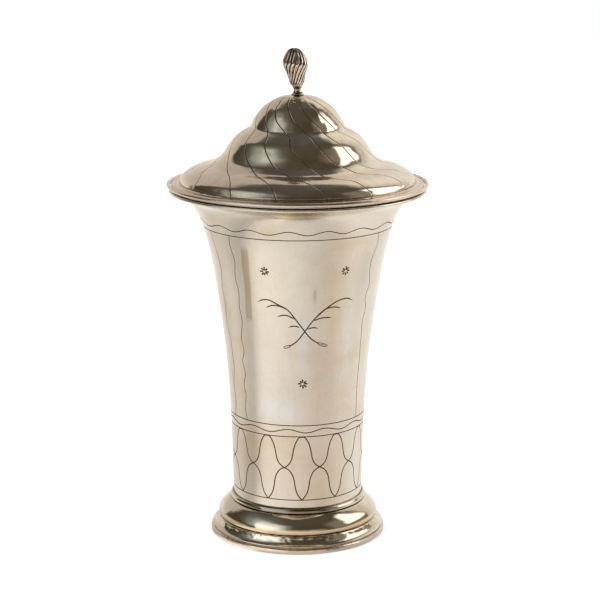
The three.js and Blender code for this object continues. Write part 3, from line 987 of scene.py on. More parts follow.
# outside of the dome, going up and in: (r, z)
DOME = [
    (66.6, 205.25), (66.5, 206.2), (65.9, 207.8), (64.8, 209.2), (63.4, 210.3), (61.5, 211.45),
    (59.4, 212.5), (56.1, 213.6), (54.4, 214.05), (52.8, 214.45), (51.3, 214.82), (49.95, 215.2),
    (48.85, 215.58), (47.8, 216.2), (46.7, 216.9), (45.6, 217.6), (44.6, 218.25), (43.85, 219.0),
    (43.4, 219.5), (42.5, 220.6), (41.9, 221.4), (41.3, 222.3), (40.7, 223.4), (39.93, 224.5),
    (39.22, 225.6), (38.38, 226.7), (37.66, 227.8), (36.69, 229), (35.55, 230.1), (34.15, 231.2),
    (32.55, 232.3), (30.8, 233.4), (28.67, 234.5), (27.2, 235.3), (26.6, 235.9), (26.2, 236.8),
    (25.9, 237.8), (25.33, 238.9), (24.68, 240), (24.09, 241.1), (23.25, 242.2), (22.55, 243.3),
    (21.6, 244.4), (20.74, 245.5), (19.74, 246.6), (18.58, 247.8), (16.98, 248.9), (15.39, 250),
    (13.52, 251.1), (11.46, 252.15), (8.79, 253.05), (6.5, 253.5), (4.5, 253.68), (1.75, 253.7),
]
DOME_THICK = 1.1
DOME_ROW = 0.45  # distance between rows
CREASES = 15
PANEL_INNER = 11  # columns in a panel between its two lips
# mean turn of a crease: distance up the section from the dome's foot, and degrees
TURN_ALONG = [0, 3, 10.4, 15.6, 21, 26.6, 30.7, 38, 45, 52, 56, 61.8, 67.8, 73.6, 77.8, 83, 92]
TURN = [-10.2, -10.5, -14, -20, -28, -37.2, -42, -48, -54, -61.4, -70, -80, -89.2, -97.5, -102,
        -108, -114]
# how far a crease strays from that mean, by crease number: (distance, degrees)
STRAY = {
    -2: [(1, -0.8), (5.6, 1.0), (9.5, -0.3), (13.1, -1.6), (17.2, -1.3), (21.3, 0.4), (40, -1)],
    -1: [(0.8, 1.4), (11.3, 1.0), (16.4, 1.8), (22.5, 1.1), (29.7, 0.8), (36, -1.1), (50, -2)],
    0: [(0.9, 0.4), (8.7, -0.6), (18.7, 0.5), (22.4, 1.5), (26.6, 2.4), (29.6, 0.7), (35.2, -1.0),
        (40, -1.9), (45.1, -0.1), (49, 1.5), (54, 1.7), (70, 0)],
    1: [(1.3, 0), (7.2, -1.5), (15, -2.7), (21.1, -1.6), (26.5, -1.7), (32.6, -2.7), (38.3, -3.7),
        (42.3, -2.9), (47.1, 0), (52.9, 1.8), (54.5, 0.6), (59, 1.8), (64, 3.5), (66.6, 2.1),
        (69.7, 0.1), (80, 0)],
    2: [(0.7, -0.3), (5.5, -1.8), (12.2, -0.9), (16.5, -4.0), (20.5, -4.6), (25.8, -1.2),
        (30.7, -1.3), (36.7, -3.5), (40.3, -4.6), (45.5, -1.0), (49.5, 1.7), (54, -0.2),
        (58.5, -3.2), (63.4, -1.7), (68.3, 0.9), (70.8, 4.2), (76, 2)],
    3: [(0.1, 2.5), (2.8, 0.4), (12.4, 1.2), (16, 0.5), (20.5, -3.6), (25.5, -0.9), (29.4, -2.8),
        (35.5, -3.8), (41.5, -4.5), (48.5, -1), (54.2, 0), (58, -2.9), (63.6, -1.3), (69.7, -0.4),
        (73.2, 2.2), (80, 2)],
    4: [(0, -3), (10.8, -5.6), (16.1, -2.7), (22.8, -7.7), (32, -6), (39.4, -4.9), (46, -5.9),
        (53.8, -1.4), (58, -2.3), (66, -0.5), (76, 0)],
    5: [(0, 0), (30, -2), (61.4, -3.9), (64.8, -1.3), (71.3, -0.5), (75.2, -2.4), (82, -2)],
    6: [(0, 0), (30, -3), (50, -4), (61.6, -4.3), (65.3, -2.5), (69.7, -2.1), (73.6, -1.6),
        (82, -1)],
}


def blur_rows(values, reach, **padding):
    """Values by dome row, smoothed over a reach in mm."""
    width = int(reach / DOME_ROW)
    kernel = np.hanning(2 * width + 1)
    kernel /= kernel.sum()
    return np.convolve(np.pad(values, width, **padding), kernel, "valid")


def dome_creases(along, mean, random):
    """Angle of every crease at every row; the ones without a table stray at random."""
    creases = []
    for k in range(CREASES):
        number = k if k <= 6 else k - CREASES
        if number in STRAY:
            stray = np.interp(along, *zip(*STRAY[number]))
        else:
            offsets = random.uniform(-2.5, 1.5, 12)
            stray = np.interp(along, np.linspace(0, along[-1], 12), offsets)
        stray = blur_rows(stray, 2.2, mode="edge")
        creases.append(np.radians(360 / CREASES * k + mean + stray))
    return np.array(creases)


def build_dome():
    outer, along = even(soften(DOME, 0.2, 0.85), DOME_ROW)
    out = side(outer)
    r, z = outer[:, 0], outer[:, 1]
    random = np.random.default_rng(21)
    mean = blur_rows(np.interp(along, TURN_ALONG, TURN), 9, mode="reflect", reflect_type="odd")
    crease = dome_creases(along, mean, random)
    panel_turn = np.vstack([crease[1:], crease[:1] + TAU]) - crease
    width = panel_turn * r[None, :]
    slant = 1 / np.sqrt(1 + (np.gradient(np.radians(mean), along) * r) ** 2)
    # half a groove and its lip, as shares of the panel
    groove_share = np.minimum(0.20 / slant / np.maximum(width, 1e-3), 0.13)
    lip_share = np.minimum(groove_share * 2.6, 0.2)
    strength = smooth01(r, 7.5, 15) * (0.75 + 0.25 * smooth01(along, 0, 4))
    swell = 0.0045 * width * slant
    per_panel = PANEL_INNER + 5
    thetas, lifts = [], []
    for k in range(CREASES):
        stations = np.linspace(0, len(along) and along[-1], 14)
        vary = 0.72 + 0.28 * np.interp(along, stations, random.uniform(-1, 1, 14))
        groove, lip = groove_share[k], lip_share[k]
        inner = [lip + (1 - 2 * lip) * q for q in np.linspace(0, 1, PANEL_INNER + 2)[1:-1]]
        share = np.array([np.zeros(len(along)), groove, lip, *inner, 1 - lip, 1 - groove])
        height = np.zeros((per_panel, len(along)))
        height[0], height[1], height[-1] = -0.22 * vary, 0.012, 0.01
        thetas.append(crease[k] + panel_turn[k] * share)
        lifts.append(height * strength + swell[k] * (4 * share * (1 - share)) * smooth01(r, 4, 16))
    theta, lift = np.vstack(thetas).T, np.vstack(lifts).T  # rows x columns
    kinds = np.tile(np.arange(per_panel), CREASES)

    # hand-made unevenness, and a ragged foot
    soft = waves(31, 8, (2, 9), (0.03, 0.14))
    small = waves(32, 14, (12, 34), (0.15, 0.55))
    ragged = waves(33, 12, (40, 95), (0.4, 1.2))
    up, out_r, out_z = along[:, None], out[:, :1], out[:, 1:]
    calm = smooth01(r, 2.5, 12)[:, None] * smooth01(up, 0, 1.5)
    lift = lift + calm * (0.10 * soft(theta, up) + 0.017 * small(theta, up))
    lift = lift + 0.05 * ragged(theta, up) * peak(up, 1.6, 1.6) * smooth01(up, 0, 0.6)
    top = place(theta, r[:, None] + out_r * lift, z[:, None] + out_z * lift)
    # the inside follows the same columns, coarser and without the grooves
    rows_in = np.unique(np.round(np.linspace(0, len(along) - 1, 70)).astype(int))[::-1]
    lift_in = calm * 0.10 * soft(theta, up) - DOME_THICK
    inside = place(theta, r[:, None] + out_r * lift_in, z[:, None] + out_z * lift_in)[rows_in]
    cols, rows = theta.shape[1], len(along)
    verts = np.vstack([top.reshape(-1, 3), inside.reshape(-1, 3)])
    faces = grid_faces(rows + len(rows_in), cols, wrap_rows=True)

    face_row, face_col = np.divmod(np.arange(len(faces)), cols)
    kind = kinds[face_col]
    on_top = face_row < rows - 1
    strong = np.append(strength, np.zeros(len(rows_in)))[face_row] > 0.05
    groove = on_top & strong & ((kind == 0) | (kind == per_panel - 1))
    index = np.where(groove, 1, np.where(on_top, 0, 2))
    crevice = np.zeros((rows, cols))
    crevice[:, np.isin(kinds, (0, 1, per_panel - 1))] = 0.35 * strength[:, None]
    crevice += (0.28 + 0.14 * ragged(theta, up)) * peak(up, 0, 0.6)
    crevice += 0.2 * peak(r[:, None], 5, 1.6)
    crevice = np.concatenate([crevice.ravel(), np.zeros(len(rows_in) * cols)])
    build("cover_dome", "lid", "lid_dome", verts, faces,
          [DOME_SILVER, ENGRAVED, UNDERSIDE], index=index, flat=groove,
          layers={"crevice": crevice})


build_dome()


# ---------------------------------------------------------------- rims and rings

hammer_lip = waves(41, 14, (30, 90), (0.0, 0.8))
hammer_base = waves(42, 26, (10, 60), (0.5, 2.4))
hammer_fine = waves(48, 30, (50, 120), (0.6, 2.6))
hammer_low = waves(47, 20, (5, 60), (0.3, 2.0))
hammer_wide = waves(43, 10, (6, 20), (0.1, 0.5))


def wobble(seed, height, around=(1, 5)):
    wave = waves(seed, 6, around, (0.0, 0.05))
    return lambda theta, r, z: height * wave(theta, r + z)


def floor_reflection_below(low, high, tint):
    """A tone layer: untouched above high, tinted below low; a painted reflection of the shaded floor.
    """
    return lambda theta, r, z: 1 + smooth01(z, high, low)[..., None] * (np.array(tint) - 1)


def duller(start, end, level):
    """A tone layer: painted shade, darkened to this level between two angles in degrees."""
    def tone(theta, r, z):
        share = between(np.degrees(theta), (start - 12, start + 12), (end + 12, end - 12))
        return (1 - (1 - level) * share)[..., None] * np.ones(3)
    return tone


lathe("vessel_lip", "cup", "cup_lip_wire", circle(72.15, 200.35, 0.85),
      [POLISHED],
      bump=lambda theta, r, z: 0.03 * hammer_lip(theta, z) + 0.03 * hammer_wide(theta, z))

# sections below are rows of (r, z, corner radius)
FLANGE = [(64.6, 202.9, 0.1), (71.5, 202.9, 0.25), (71.6, 204.0, 0.3), (70.6, 204.45, 0.3),
          (68.3, 204.55, 0.5), (67.0, 205.0, 0.3), (66.2, 205.2, 0.1), (64.6, 205.15, 0.1)]
lathe("cover_flange", "lid", "lid_flange", rounded(FLANGE, longest=0.5),
      [WORN_EDGE],
      bump=lambda theta, r, z: smooth01(z, 203.5, 204.2) * (
          0.05 * hammer_lip(theta, r) + 0.03 * hammer_wide(theta, r)),
      crevice=lambda theta, r, z: 0.32 * peak(r, 66.9, 0.7) + 0.35 * peak(r, 71.4, 0.5))

# the crevice layer darkens the wire's underside as painted shade over the gap, and its joint with the
# flange
lathe("cover_edge", "lid", "lid_edge_wire", circle(73.0, 203.5, 1.1, 36),
      [WORN_EDGE],
      bump=lambda theta, r, z: 0.035 * hammer_lip(theta, z) + 0.05 * hammer_wide(theta, z),
      crevice=lambda theta, r, z: 0.22 * peak(z, 202.5, 0.3) + 0.2 * peak(r, 72.0, 0.4))

COLLAR = [(57.3, 194.2, 0.3), (58.3, 194.2, 0.35), (58.3, 201.55, 0.6), (71.4, 201.55, 0.25),
          (71.4, 202.55, 0.25), (57.3, 202.55, 0.25)]
# past r 60 the web is the darker underside silver, not gilt: partly plain silver under the cover,
# partly painted shade for the gap between cover and cup
lathe("cover_collar", "lid", "lid_bezel", rounded(COLLAR, longest=0.8),
      [GILT, UNDERSIDE], bump=wobble(44, 0.03), index=lambda r, z: np.where(r > 60, 1, 0))

# (r, z): out along the underside, back along the top
FLOOR = [(1e-3, 24.2), (12, 24.2), (24, 24.2), (35.3, 24.2), (35.65, 24.45), (35.65, 25.15),
         (35.3, 25.4), (30, 25.4), (22, 25.4), (14, 25.4), (6, 25.4), (1e-3, 25.4)]
lathe("vessel_floor", "cup", "cup_floor", FLOOR, [GILT],
      bump=lambda theta, r, z: 0.02 * hammer_wide(theta, r) * smooth01(r, 4, 12)
      * smooth01(r, 35, 31))


# ---------------------------------------------------------------- foot

BEAD = [(36.5, 20.4, 0.1), (38.9, 20.4, 0.25), (39.2, 21.0, 0.4), (39.0, 21.9, 0.8),
        (38.5, 22.75, 0.8), (37.6, 23.3, 0.5), (36.5, 23.35, 0.1)]
# the tone layer paints shade across the front of the bead, dimming its reflection of the left card
lathe("foot_bead", "cup", "foot_fillet_ring",
      rounded(BEAD, steps=6, longest=0.4), [FOOT_SILVER], tone=duller(-52, 22, 0.42),
      bump=wobble(45, 0.03, (2, 12)),
      crevice=lambda theta, r, z: 0.12 + 0.45 * peak(z, 20.45, 0.4) + 0.45 * peak(z, 23.35, 0.35))

# outside of the rounded ring, going down: (r, z)
TORUS = [
    (36.7, 20.1), (38.1, 20.17), (38.9, 19.97), (39.7, 19.5), (40.5, 18.93), (41.3, 18.27),
    (42.2, 17.5), (43.1, 16.63), (43.9, 15.75), (44.62, 14.8), (45.24, 13.8), (45.66, 12.9),
    (45.88, 12.0), (45.95, 11.2), (45.88, 10.6), (45.6, 10.0), (45.0, 9.6), (43.7, 9.5),
]


def torus_bump(theta, r, z):
    clear = between(z, (9.6, 11), (1e9, 1e8)) * smooth01(r, 38, 41)
    return clear * (0.035 * hammer_wide(theta, r + z) + 0.006 * hammer_base(theta, r + z))


# the ring's lower side is tinted warmer and darker, a painted reflection of the shaded floor near the
# foot
lathe("foot_dome_ring", "cup", "foot_torus",
      sheet(even(soften(TORUS[::-1], 0.15, 0.45), 0.3)[0], 1.0), [FOOT_SILVER],
      tone=floor_reflection_below(12.0, 14.2, (1.0, 0.88, 0.74)), bump=torus_bump,
      crevice=lambda theta, r, z: 0.5 * peak(r, 38.9, 0.45) * (z > 19)
      + 0.4 * smooth01(z, 10.0, 9.6))

# outside of the flare under it, going down: (r, z)
BASE = [(43.3, 9.42), (44.6, 9.4), (45.5, 9.22), (46.05, 8.78), (46.3, 8.1), (46.55, 7.4),
        (46.95, 6.7), (47.5, 5.95), (48.2, 5.25), (48.9, 4.75), (49.5, 4.4)]


def base_bump(theta, r, z):
    hammered = 0.05 * hammer_base(theta, r + z) + 0.028 * hammer_fine(theta, z)
    edge = smooth01(z, 9.1, 8.4) * smooth01(r, 49.6, 48.8)
    return between(z, (9.15, 8.7), (6.0, 7.2)) * hammered + edge * 0.03 * hammer_wide(theta, z)


def base_crevice(theta, r, z):
    mottled = 0.16 * smooth01(z, 6.4, 8.2) * (0.5 + 0.5 * hammer_low(theta, z))
    return 0.3 * smooth01(z, 8.8, 9.15) + 0.30 * smooth01(r, 48.9, 49.5) + mottled


lathe("foot_flare", "cup", "foot_base",
      sheet(even(soften(BASE[::-1], 0.12, 0.35), 0.28)[0], 0.9), [POLISHED], bump=base_bump,
      crevice=base_crevice, segments=360)

FOOT_EDGE = [(47.5, 0, 0.3), (49.4, 0, 0.5), (50.15, 0.45, 0.5), (50.4, 1.45, 0.6),
             (50.15, 2.65, 0.5), (49.4, 3.3, 0.4), (48.2, 3.3, 0.3), (47.5, 2.6, 0.3)]
# the crevice layer darkens the joint under the flare and, as painted shade, the bottom edge where it
# rests on the floor
lathe("foot_edge", "cup", "foot_edge_wire", rounded(FOOT_EDGE, longest=0.35),
      [WORN_EDGE],
      bump=lambda theta, r, z: smooth01(z, 0.1, 0.8) * (
          0.05 * hammer_wide(theta, z) + 0.03 * hammer_lip(theta, z)),
      crevice=lambda theta, r, z: 0.3 * smooth01(z, 2.9, 3.3) * smooth01(r, 49.9, 49.4)
      + 0.3 * smooth01(z, 0.35, 0.0), segments=300)


# ---------------------------------------------------------------- finial

BORE_R = 1.75  # hole through the finial's parts
TIP_Z = 280
THREAD_PITCH = 0.5
FLUTES, FLUTE_COLS = 18, 10


def lean(verts):
    """The finial leans to the left by nearly 2 mm at its tip."""
    verts = np.array(verts, float)
    verts[..., 0] -= 0.074 * np.maximum(verts[..., 2] - 255.0, 0)
    return verts


# outside of the bud, going up: (r, z)
BUD = [
    (2.85, 258.3), (3.05, 258.5), (3.3, 258.8), (3.75, 259.8), (4.25, 260.9), (4.55, 262.05),
    (4.8, 263.2), (5.1, 264.3), (5.4, 265.4), (5.8, 266.5), (6.25, 267.7), (6.7, 268.8),
    (7.15, 269.9), (7.42, 270.9), (7.35, 272.0), (7.0, 273.3), (6.52, 274.4), (6.0, 275.5),
    (5.35, 276.6), (4.6, 277.7), (3.75, 278.6), (2.75, 279.3), (1.75, 279.72), (0.85, 279.94),
    (0.02, TIP_Z),
]
BORE_TOP = 266.1
# the bud's hole and underside, going down and out: (r, z)
BORE = [(0.02, BORE_TOP), (1.0, BORE_TOP), (BORE_R, BORE_TOP), (BORE_R, 264), (BORE_R, 261.5),
        (BORE_R, 258.45), (1.9, 258.3), (2.6, 258.3)]
# how fast the flutes twist: heights, and radians per mm
TWIST_Z = [258.3, 262, 266, 271, 276, 280]
TWIST_RATE = [0.092, 0.084, 0.070, 0.048, 0.032, 0.03]


def build_bud():
    outer, _ = even(soften(BUD, 0.1, 0.3), 0.24)
    out = side(outer)
    cols, z = FLUTES * FLUTE_COLS, outer[:, 1]
    rate = np.interp(z, TWIST_Z, TWIST_RATE)
    twist = np.concatenate([[0], np.cumsum(0.5 * (rate[1:] + rate[:-1]) * np.diff(z))])
    theta = (np.arange(cols) / cols * TAU)[None, :] + twist[:, None] - 0.62
    phase = (np.arange(cols) % FLUTE_COLS) / FLUTE_COLS
    valley = 1 - np.abs(np.sin(np.pi * phase)) ** 0.8  # 1 in the valley, 0 on the ridge
    vary = np.random.default_rng(8).uniform(-1, 1, FLUTES)
    valley = valley * (1 + 0.25 * vary[np.arange(cols) // FLUTE_COLS])
    fade = smooth01(z, 258.7, 259.8) * smooth01(outer[:, 0], 0.4, 3.6)
    deep = 0.62 - 0.24 * smooth01(z, 270.5, 275)
    lift = -valley[None, :] * (deep * fade)[:, None]
    lift = lift + 0.045 * waves(51, 8, (3, 14), (0.3, 1.2))(theta, z[:, None]) * fade[:, None]
    top = place(theta, outer[:, :1] + out[:, :1] * lift, outer[:, 1:] + out[:, 1:] * lift)
    inner = np.array([place(theta[0], r, height) for r, height in BORE])
    verts = np.vstack([inner.reshape(-1, 3), top.reshape(-1, 3)])
    count = len(verts)
    verts = lean(np.vstack([verts, [[0, 0, TIP_Z]], [[0, 0, BORE_TOP]]]))
    faces = grid_faces(len(BORE) + len(outer), cols).tolist()
    faces += fan(count - cols, cols, count) + fan(0, cols, count + 1, turned=True)
    crevice = np.zeros(count + 2)
    # the flute valleys are darkened, and the tip is darkened too as painted shade that dims its
    # reflection
    crevice[len(BORE) * cols:count] = (
        np.clip(valley, 0, 1)[None, :] ** 0.95 * fade[:, None] * 1.15
        + (0.4 * smooth01(z, 277.5, 279.5))[:, None]).ravel()
    build("finial_knop", "lid", "finial_bud", verts, faces, [FINIAL_SILVER],
          layers={"crevice": crevice})


# outside of the neck, going up, and its hole, going down: (r, z)
NECK = [(2.75, 254.9), (2.95, 255.0), (2.75, 255.2), (2.4, 255.5), (2.2, 256.0), (2.15, 256.5),
        (2.25, 257.0), (2.5, 257.5), (2.8, 257.8), (2.7, 258.0)]
NECK_BORE = [(BORE_R, z) for z in (258.0, 257.4, 256.8, 256.2, 255.5, 254.9)]
SEAT = [(BORE_R, 254.0, 0.05), (3.5, 254.0, 0.12), (3.65, 254.3, 0.2), (3.2, 254.6, 0.2),
        (BORE_R, 254.6, 0.05)]
WASHER = [(BORE_R, 251.6, 0.08), (3.5, 251.6, 0.12), (3.5, 252.3, 0.12), (BORE_R, 252.3, 0.08)]


def build_stud():
    """The threaded stud up the middle."""
    cols, low, high = 48, 246.5, 265.7
    z = np.arange(low, high + 1e-6, THREAD_PITCH / 10)
    theta = np.linspace(0, TAU, cols, endpoint=False)[None, :]
    phase = ((z[:, None] - low) / THREAD_PITCH - theta / TAU) % 1.0
    thread = np.clip(1.15 * np.abs(2 * phase - 1), 0, 1)
    ends = between(z, (low, low + 0.6), (high, high - 0.6))
    r = 1.45 - 0.28 * thread - 0.3 * (1 - ends[:, None])
    verts = place(theta, r, z[:, None] + 0 * theta).reshape(-1, 3)
    count = len(verts)
    verts = lean(np.vstack([verts, [[0, 0, low]], [[0, 0, high]]]))
    faces = grid_faces(len(z), cols).tolist()
    faces += fan(0, cols, count, turned=True) + fan(count - cols, cols, count + 1)
    build("finial_screw", "lid", "finial_stud", verts, faces, [FASTENER])


def build_nut():
    """The hexagonal nut under the dome, with chamfered faces and a threaded hole."""
    cols, low, high = 144, 248.9, 251.3
    half_flats, face_r = 2.75, 2.62
    chamfer = (0.02, 0.08, 0.16, 0.24, 0.32, 0.4)
    theta = np.linspace(0, TAU, cols, endpoint=False)
    hexagon = half_flats / np.cos((theta + math.pi / 6) % (math.pi / 3) - math.pi / 6)
    rows = [(r, low) for r in (1.72, 2.1, 2.55)]
    rows += [(np.minimum(hexagon, face_r + d * 1.5), low + d * 0.7) for d in chamfer]
    rows += [(hexagon, low + d) for d in (0.6, 1.2, 1.8)]
    rows += [(np.minimum(hexagon, face_r + d * 1.5), high - d * 0.7) for d in chamfer[::-1]]
    rows += [(r, high) for r in (2.55, 2.1, 1.72)] + [(1.52, high - 0.2)]
    for z in np.arange(high - 0.3, low + 0.25, -THREAD_PITCH / 4):
        phase = ((z - low) / THREAD_PITCH - theta / TAU) % 1.0
        rows.append((1.5 + 0.12 * np.abs(2 * phase - 1), z))
    rows.append((1.52, low + 0.2))
    verts = np.vstack([place(theta, r, z) for r, z in rows])
    build("finial_hexnut", "lid", "finial_nut", verts,
          grid_faces(len(rows), cols, wrap_rows=True), [FASTENER])


build_bud()
# the neck is darkened all over as painted shade under the bud, and darker still at its joints
lathe("finial_collar", "lid", "finial_neck",
      np.vstack([even(soften(NECK, 0.05, 0.1), 0.1)[0], NECK_BORE]), [FINIAL_SILVER],
      segments=96, warp=lean,
      crevice=lambda theta, r, z: (r > 2.0) * (
          0.36 + 0.45 * peak(z, 255.1, 0.25) + 0.3 * peak(z, 257.9, 0.2)))
# the seat is darkened all over as painted shade under the neck, most on its lower side against the
# dome and where the neck sits
lathe("finial_base", "lid", "finial_seat", rounded(SEAT, longest=0.3),
      [FINIAL_SILVER], segments=96,
      crevice=lambda theta, r, z: 0.35 + 0.6 * smooth01(z, 254.4, 254.1)
      + 0.4 * peak(r, 2.9, 0.3) * (z > 254.5))
build_stud()
build_nut()
lathe("finial_ring", "lid", "finial_washer", rounded(WASHER, longest=0.3),
      [FASTENER], segments=96)


# ---------------------------------------------------------------- floor

FLOOR_HALF = 3.0  # metres
# glow of the floor as the metal reflects it: (degrees, level)
FLOOR_GLOW = [
    (-180, 0.98), (-150, 0.86), (-125, 0.68), (-108, 0.70), (-96, 0.62), (-87, 0.52),
    (-72, 0.50), (-64, 0.74), (-56, 0.90), (-42, 0.92), (-25, 0.87), (-5, 0.80), (15, 0.70),
    (32, 0.62), (50, 0.65), (72, 0.80), (90, 0.88), (110, 0.88), (130, 0.82), (155, 0.92),
    (180, 0.98),
]


def floor_material():
    """Pale and matt, but reflected in the metal as a glow that changes round the vessel."""
    mat, net = new_material("pale_floor")
    mat.cycles.emission_sampling = "NONE"
    position = net.add("NewGeometry", output="Position")
    x, y, _ = net.split(position)
    turn = net.theta(x, y) * (1 / TAU) + 0.5  # 0 to 1 round the axis
    glow = net.ramp(turn, [((angle + 180) / 360, level) for angle, level in FLOOR_GLOW])
    # painted shadow of the vessel in the reflected floor: dimmer close to the foot, except on the
    # left of the front
    distance = net.math("SQRT", x * x + y * y)
    close = net.between(turn, (0.28, 0.31), (0.44, 0.40))
    near = net.fade(distance, 0.045, 0.09, low=0.80 + close * 0.5, high=1.0)
    color = net.tint((1.0, 0.985, 0.97), net.grey(glow * near))
    emission = net.add("Emission", {"Color": color, "Strength": 1.1})
    shade = 0.83 + net.noise(position, scale=140, detail=3.0) * 0.02
    matt = net.add("BsdfDiffuse", {"Color": net.grey(shade), "Roughness": 0.4})
    glossy = net.add("LightPath", output="Is Glossy Ray")
    surface = net.add("MixShader", {0: glossy, 1: matt, 2: emission})
    net.add("OutputMaterial", {"Surface": surface})
    return mat


def build_floor():
    mesh = bpy.data.meshes.new("floor_sheet")
    corners = [(x * FLOOR_HALF, y * FLOOR_HALF, 0) for x, y in ((-1, -1), (1, -1), (1, 1), (-1, 1))]
    mesh.from_pydata(corners, [], [(0, 1, 2, 3)])
    mesh.materials.append(floor_material())
    new_object(mesh)


build_floor()


# ---------------------------------------------------------------- studio

# grey levels by elevation: (degrees, level)
ROOM = [(-10, 0.09), (0, 0.072), (20, 0.070), (50, 0.076), (65, 0.088), (90, 0.092)]
LEFT_PANEL = [(-10, 0.0), (3, 0.0), (10, 0.22), (16, 0.56), (25, 1.0), (35, 0.84), (46, 0.95),
              (53, 0.78), (58, 0.34), (64, 0.10), (75, 0.03), (90, 0.0)]
BACKDROP_RIGHT = [(-10, 1.02), (0, 0.99), (20, 0.96), (42, 0.95), (50, 0.90), (53, 0.66),
                  (56, 0.34), (60, 0.12), (90, 0.10)]
BACKDROP_LEFT = [(-10, 0.96), (0, 0.90), (10, 0.73), (20, 0.63), (30, 0.56), (40, 0.53),
                 (49, 0.51), (53, 0.34), (56, 0.17), (60, 0.10), (90, 0.10)]


def build_world():
    """Soft even light; for the metal, a dim room with a pale panel, a grey wall and a backdrop."""
    world = bpy.data.worlds.new("studio")
    bpy.context.scene.world = world
    world.use_nodes = True
    world.cycles.sampling_method = "NONE"
    net = Net(world.node_tree)
    x, y, z = net.split(net.add("TexCoord", output="Generated"))
    angle = net.theta(x, y) * TO_DEGREES
    elevation = net.math("ARCSINE", z) * TO_DEGREES

    def level(stops):
        share = net.slope(elevation, -10, 90)
        return net.ramp(share, [((degrees + 10) / 100, grey) for degrees, grey in stops])

    col = net.tint((1.02, 0.90, 0.67), level(ROOM))
    # a cool pale panel high on the left, leaning back and widening upwards
    middle = net.slope(elevation, 18, 50, -54, -64)
    off = (angle - middle) / net.slope(elevation, 10, 42, 11.5, 21.0)
    panel = net.math("EXPONENT", off * off * -0.5) * level(LEFT_PANEL)
    col = net.mix(panel, col, (0.70, 0.78, 0.76))
    # a dim grey wall on the right
    wall = net.between(angle, (43, 61), (139, 121)) * net.between(elevation, (-11, -1), (60, 44))
    col = net.mix(wall, col, (0.25, 0.22, 0.18))
    # the pale backdrop behind: even on the right, fading upwards on the left
    turn = angle + net.math("LESS_THAN", angle, 0.0) * 360.0
    on_left = net.fade(turn, 156, 188)
    shade = net.mix(on_left, (1.0, 0.96, 0.88), (1.0, 0.92, 0.84))
    shade = net.tint(shade, net.mix(on_left, level(BACKDROP_RIGHT), level(BACKDROP_LEFT)))
    shade = net.tint(shade, net.grey(net.fade(turn, 130, 150, low=0.76, high=1.0)))
    col = net.mix(net.between(turn, (121, 130), (238, 228)), col, shade)
    # only glossy rays see the room; the camera sees white
    path = net.add("LightPath")
    col = net.mix(path.out("Is Glossy Ray"), (1.7, 1.7, 1.71), col)
    col = net.mix(path.out("Is Camera Ray"), col, (1.0, 1.0, 1.0))
    net.add("OutputWorld", {"Surface": net.add("Background", {"Color": col, "Strength": 1.0})})


def reflector(name, radius, angles, heights, paint):
    """A curved card round the vessel, in metres and degrees, seen only by reflected rays that climb.

    paint(net, angle, z) gives its colour and how solid it is.
    """
    cols, rows = 40, 24
    (start, end), (low, high) = angles, heights
    verts = []
    for i in range(rows + 1):
        for j in range(cols + 1):
            theta = math.radians(start + (end - start) * j / cols)
            z = low + (high - low) * i / rows
            verts.append((radius * math.sin(theta), -radius * math.cos(theta), z))
    firsts = [i * (cols + 1) + j for i in range(rows) for j in range(cols)]
    mesh = bpy.data.meshes.new(name)
    mesh.from_pydata(verts, [], [(k, k + 1, k + cols + 2, k + cols + 1) for k in firsts])
    mat, net = new_material(name + "_glow")
    mat.cycles.emission_sampling = "NONE"
    geometry = net.add("NewGeometry")
    x, y, z = net.split(geometry.out("Position"))
    color, solid = paint(net, net.theta(x, y) * TO_DEGREES, z)
    falling = net.split(geometry.out("Incoming"))[2]  # below zero for a ray that climbs
    solid = solid * net.fade(falling, 0.03, -0.02)
    emission = net.add("Emission", {"Color": color, "Strength": 1.0})
    clear = net.add("BsdfTransparent")
    surface = net.add("MixShader", {0: solid, 1: clear, 2: emission})
    net.add("OutputMaterial", {"Surface": surface})
    mesh.materials.append(mat)
    ob = new_object(mesh)
    ob.visible_camera = ob.visible_diffuse = ob.visible_shadow = ob.visible_transmission = False


def paint_left(net, angle, z):
    """Bright and cool, dimmer upwards, with a slanting outer edge."""
    slanted = angle + net.slope(z, 0.04, 0.15, 0, 9)
    edge = net.fade(slanted, -60, -53) * net.fade(angle, -7, -36)
    color = net.mix(net.fade(z, 0.11, 0.21), (1.42, 1.44, 1.46), (0.86, 0.87, 0.86))
    return color, edge * net.fade(z, 0.26, 0.22)


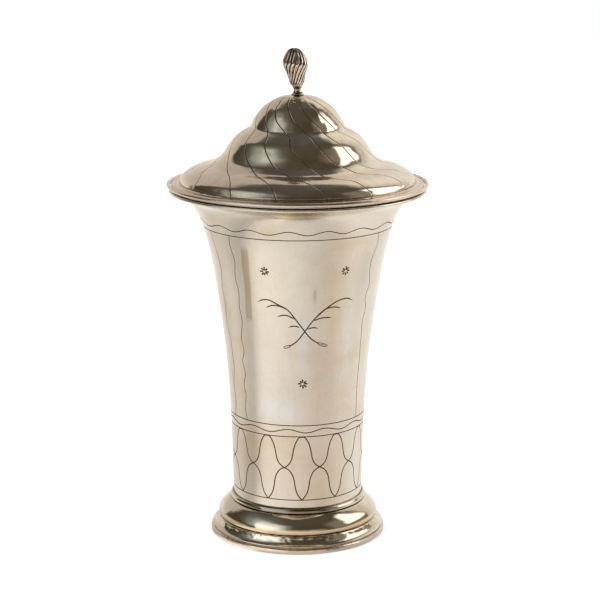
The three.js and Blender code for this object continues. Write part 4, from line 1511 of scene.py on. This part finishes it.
def paint_low(net, angle, z):
    """A low brown strip on the left."""
    edge = net.between(angle, (-124, -114), (-66, -78))
    return (0.50, 0.42, 0.31, 1), edge * net.fade(z, 0.055, 0.028)


# colour of the front card by share of its height
FRONT_COLORS = [
    (0, (0.86, 0.75, 0.62)), (0.27, (0.72, 0.62, 0.51)), (0.45, (0.50, 0.43, 0.36)),
    (0.6, (0.37, 0.32, 0.26)), (0.8, (0.25, 0.215, 0.175)), (1, (0.17, 0.145, 0.115)),
]


def paint_front(net, angle, z):
    """Beige in front, fading upwards, brighter towards the left."""
    edge = net.between(angle, (-40, -15), (47, 21))
    color = net.ramp(net.slope(z, 0.0, 0.29), FRONT_COLORS)
    brighter = net.tint(color, (1.35, 1.36, 1.4))
    color = net.mix(net.fade(angle, -3, -16), color, brighter)
    return color, edge * net.fade(z, 0.30, 0.25)


def paint_lamp(net, angle, z):
    """The soft lamp on the right, narrowing upwards."""
    near = angle - net.slope(z, 0.42, 1.05, 0, 14)
    far = angle + net.slope(z, 0.45, 1.0, 0, 14)
    edge = net.fade(near, 73, 80) * net.fade(far, 122, 115)
    return (1.8, 1.78, 1.74, 1), edge * net.between(z, (0.20, 0.31), (1.26, 0.98))


build_world()
reflector("card_left", 0.21, (-70, -3), (0.004, 0.26), paint_left)
reflector("card_low", 0.30, (-126, -66), (0.002, 0.06), paint_low)
reflector("card_front", 0.56, (-42, 50), (0.002, 0.30), paint_front)
reflector("card_lamp", 0.75, (68, 122), (0.18, 1.28), paint_lamp)


# ---------------------------------------------------------------- camera and render

def build_camera():
    """In front of the vessel, looking slightly down."""
    cam = bpy.data.objects.new("camera", bpy.data.cameras.new("camera"))
    cam.data.sensor_width = 36
    cam.data.lens = 118.8
    cam.data.shift_x = 0.004
    cam.location = (0, -1.10605, 0.38575)
    cam.rotation_euler = (math.radians(90 - 12.726), 0, 0)
    bpy.context.scene.collection.objects.link(cam)
    bpy.context.scene.camera = cam


build_camera()
scene = bpy.context.scene
scene.view_settings.view_transform = "Standard"
scene.view_settings.look = "None"
scene.cycles.use_denoising = True
scene.cycles.max_bounces = 10
scene.cycles.glossy_bounces = 8

bpy.context.view_layer.update()
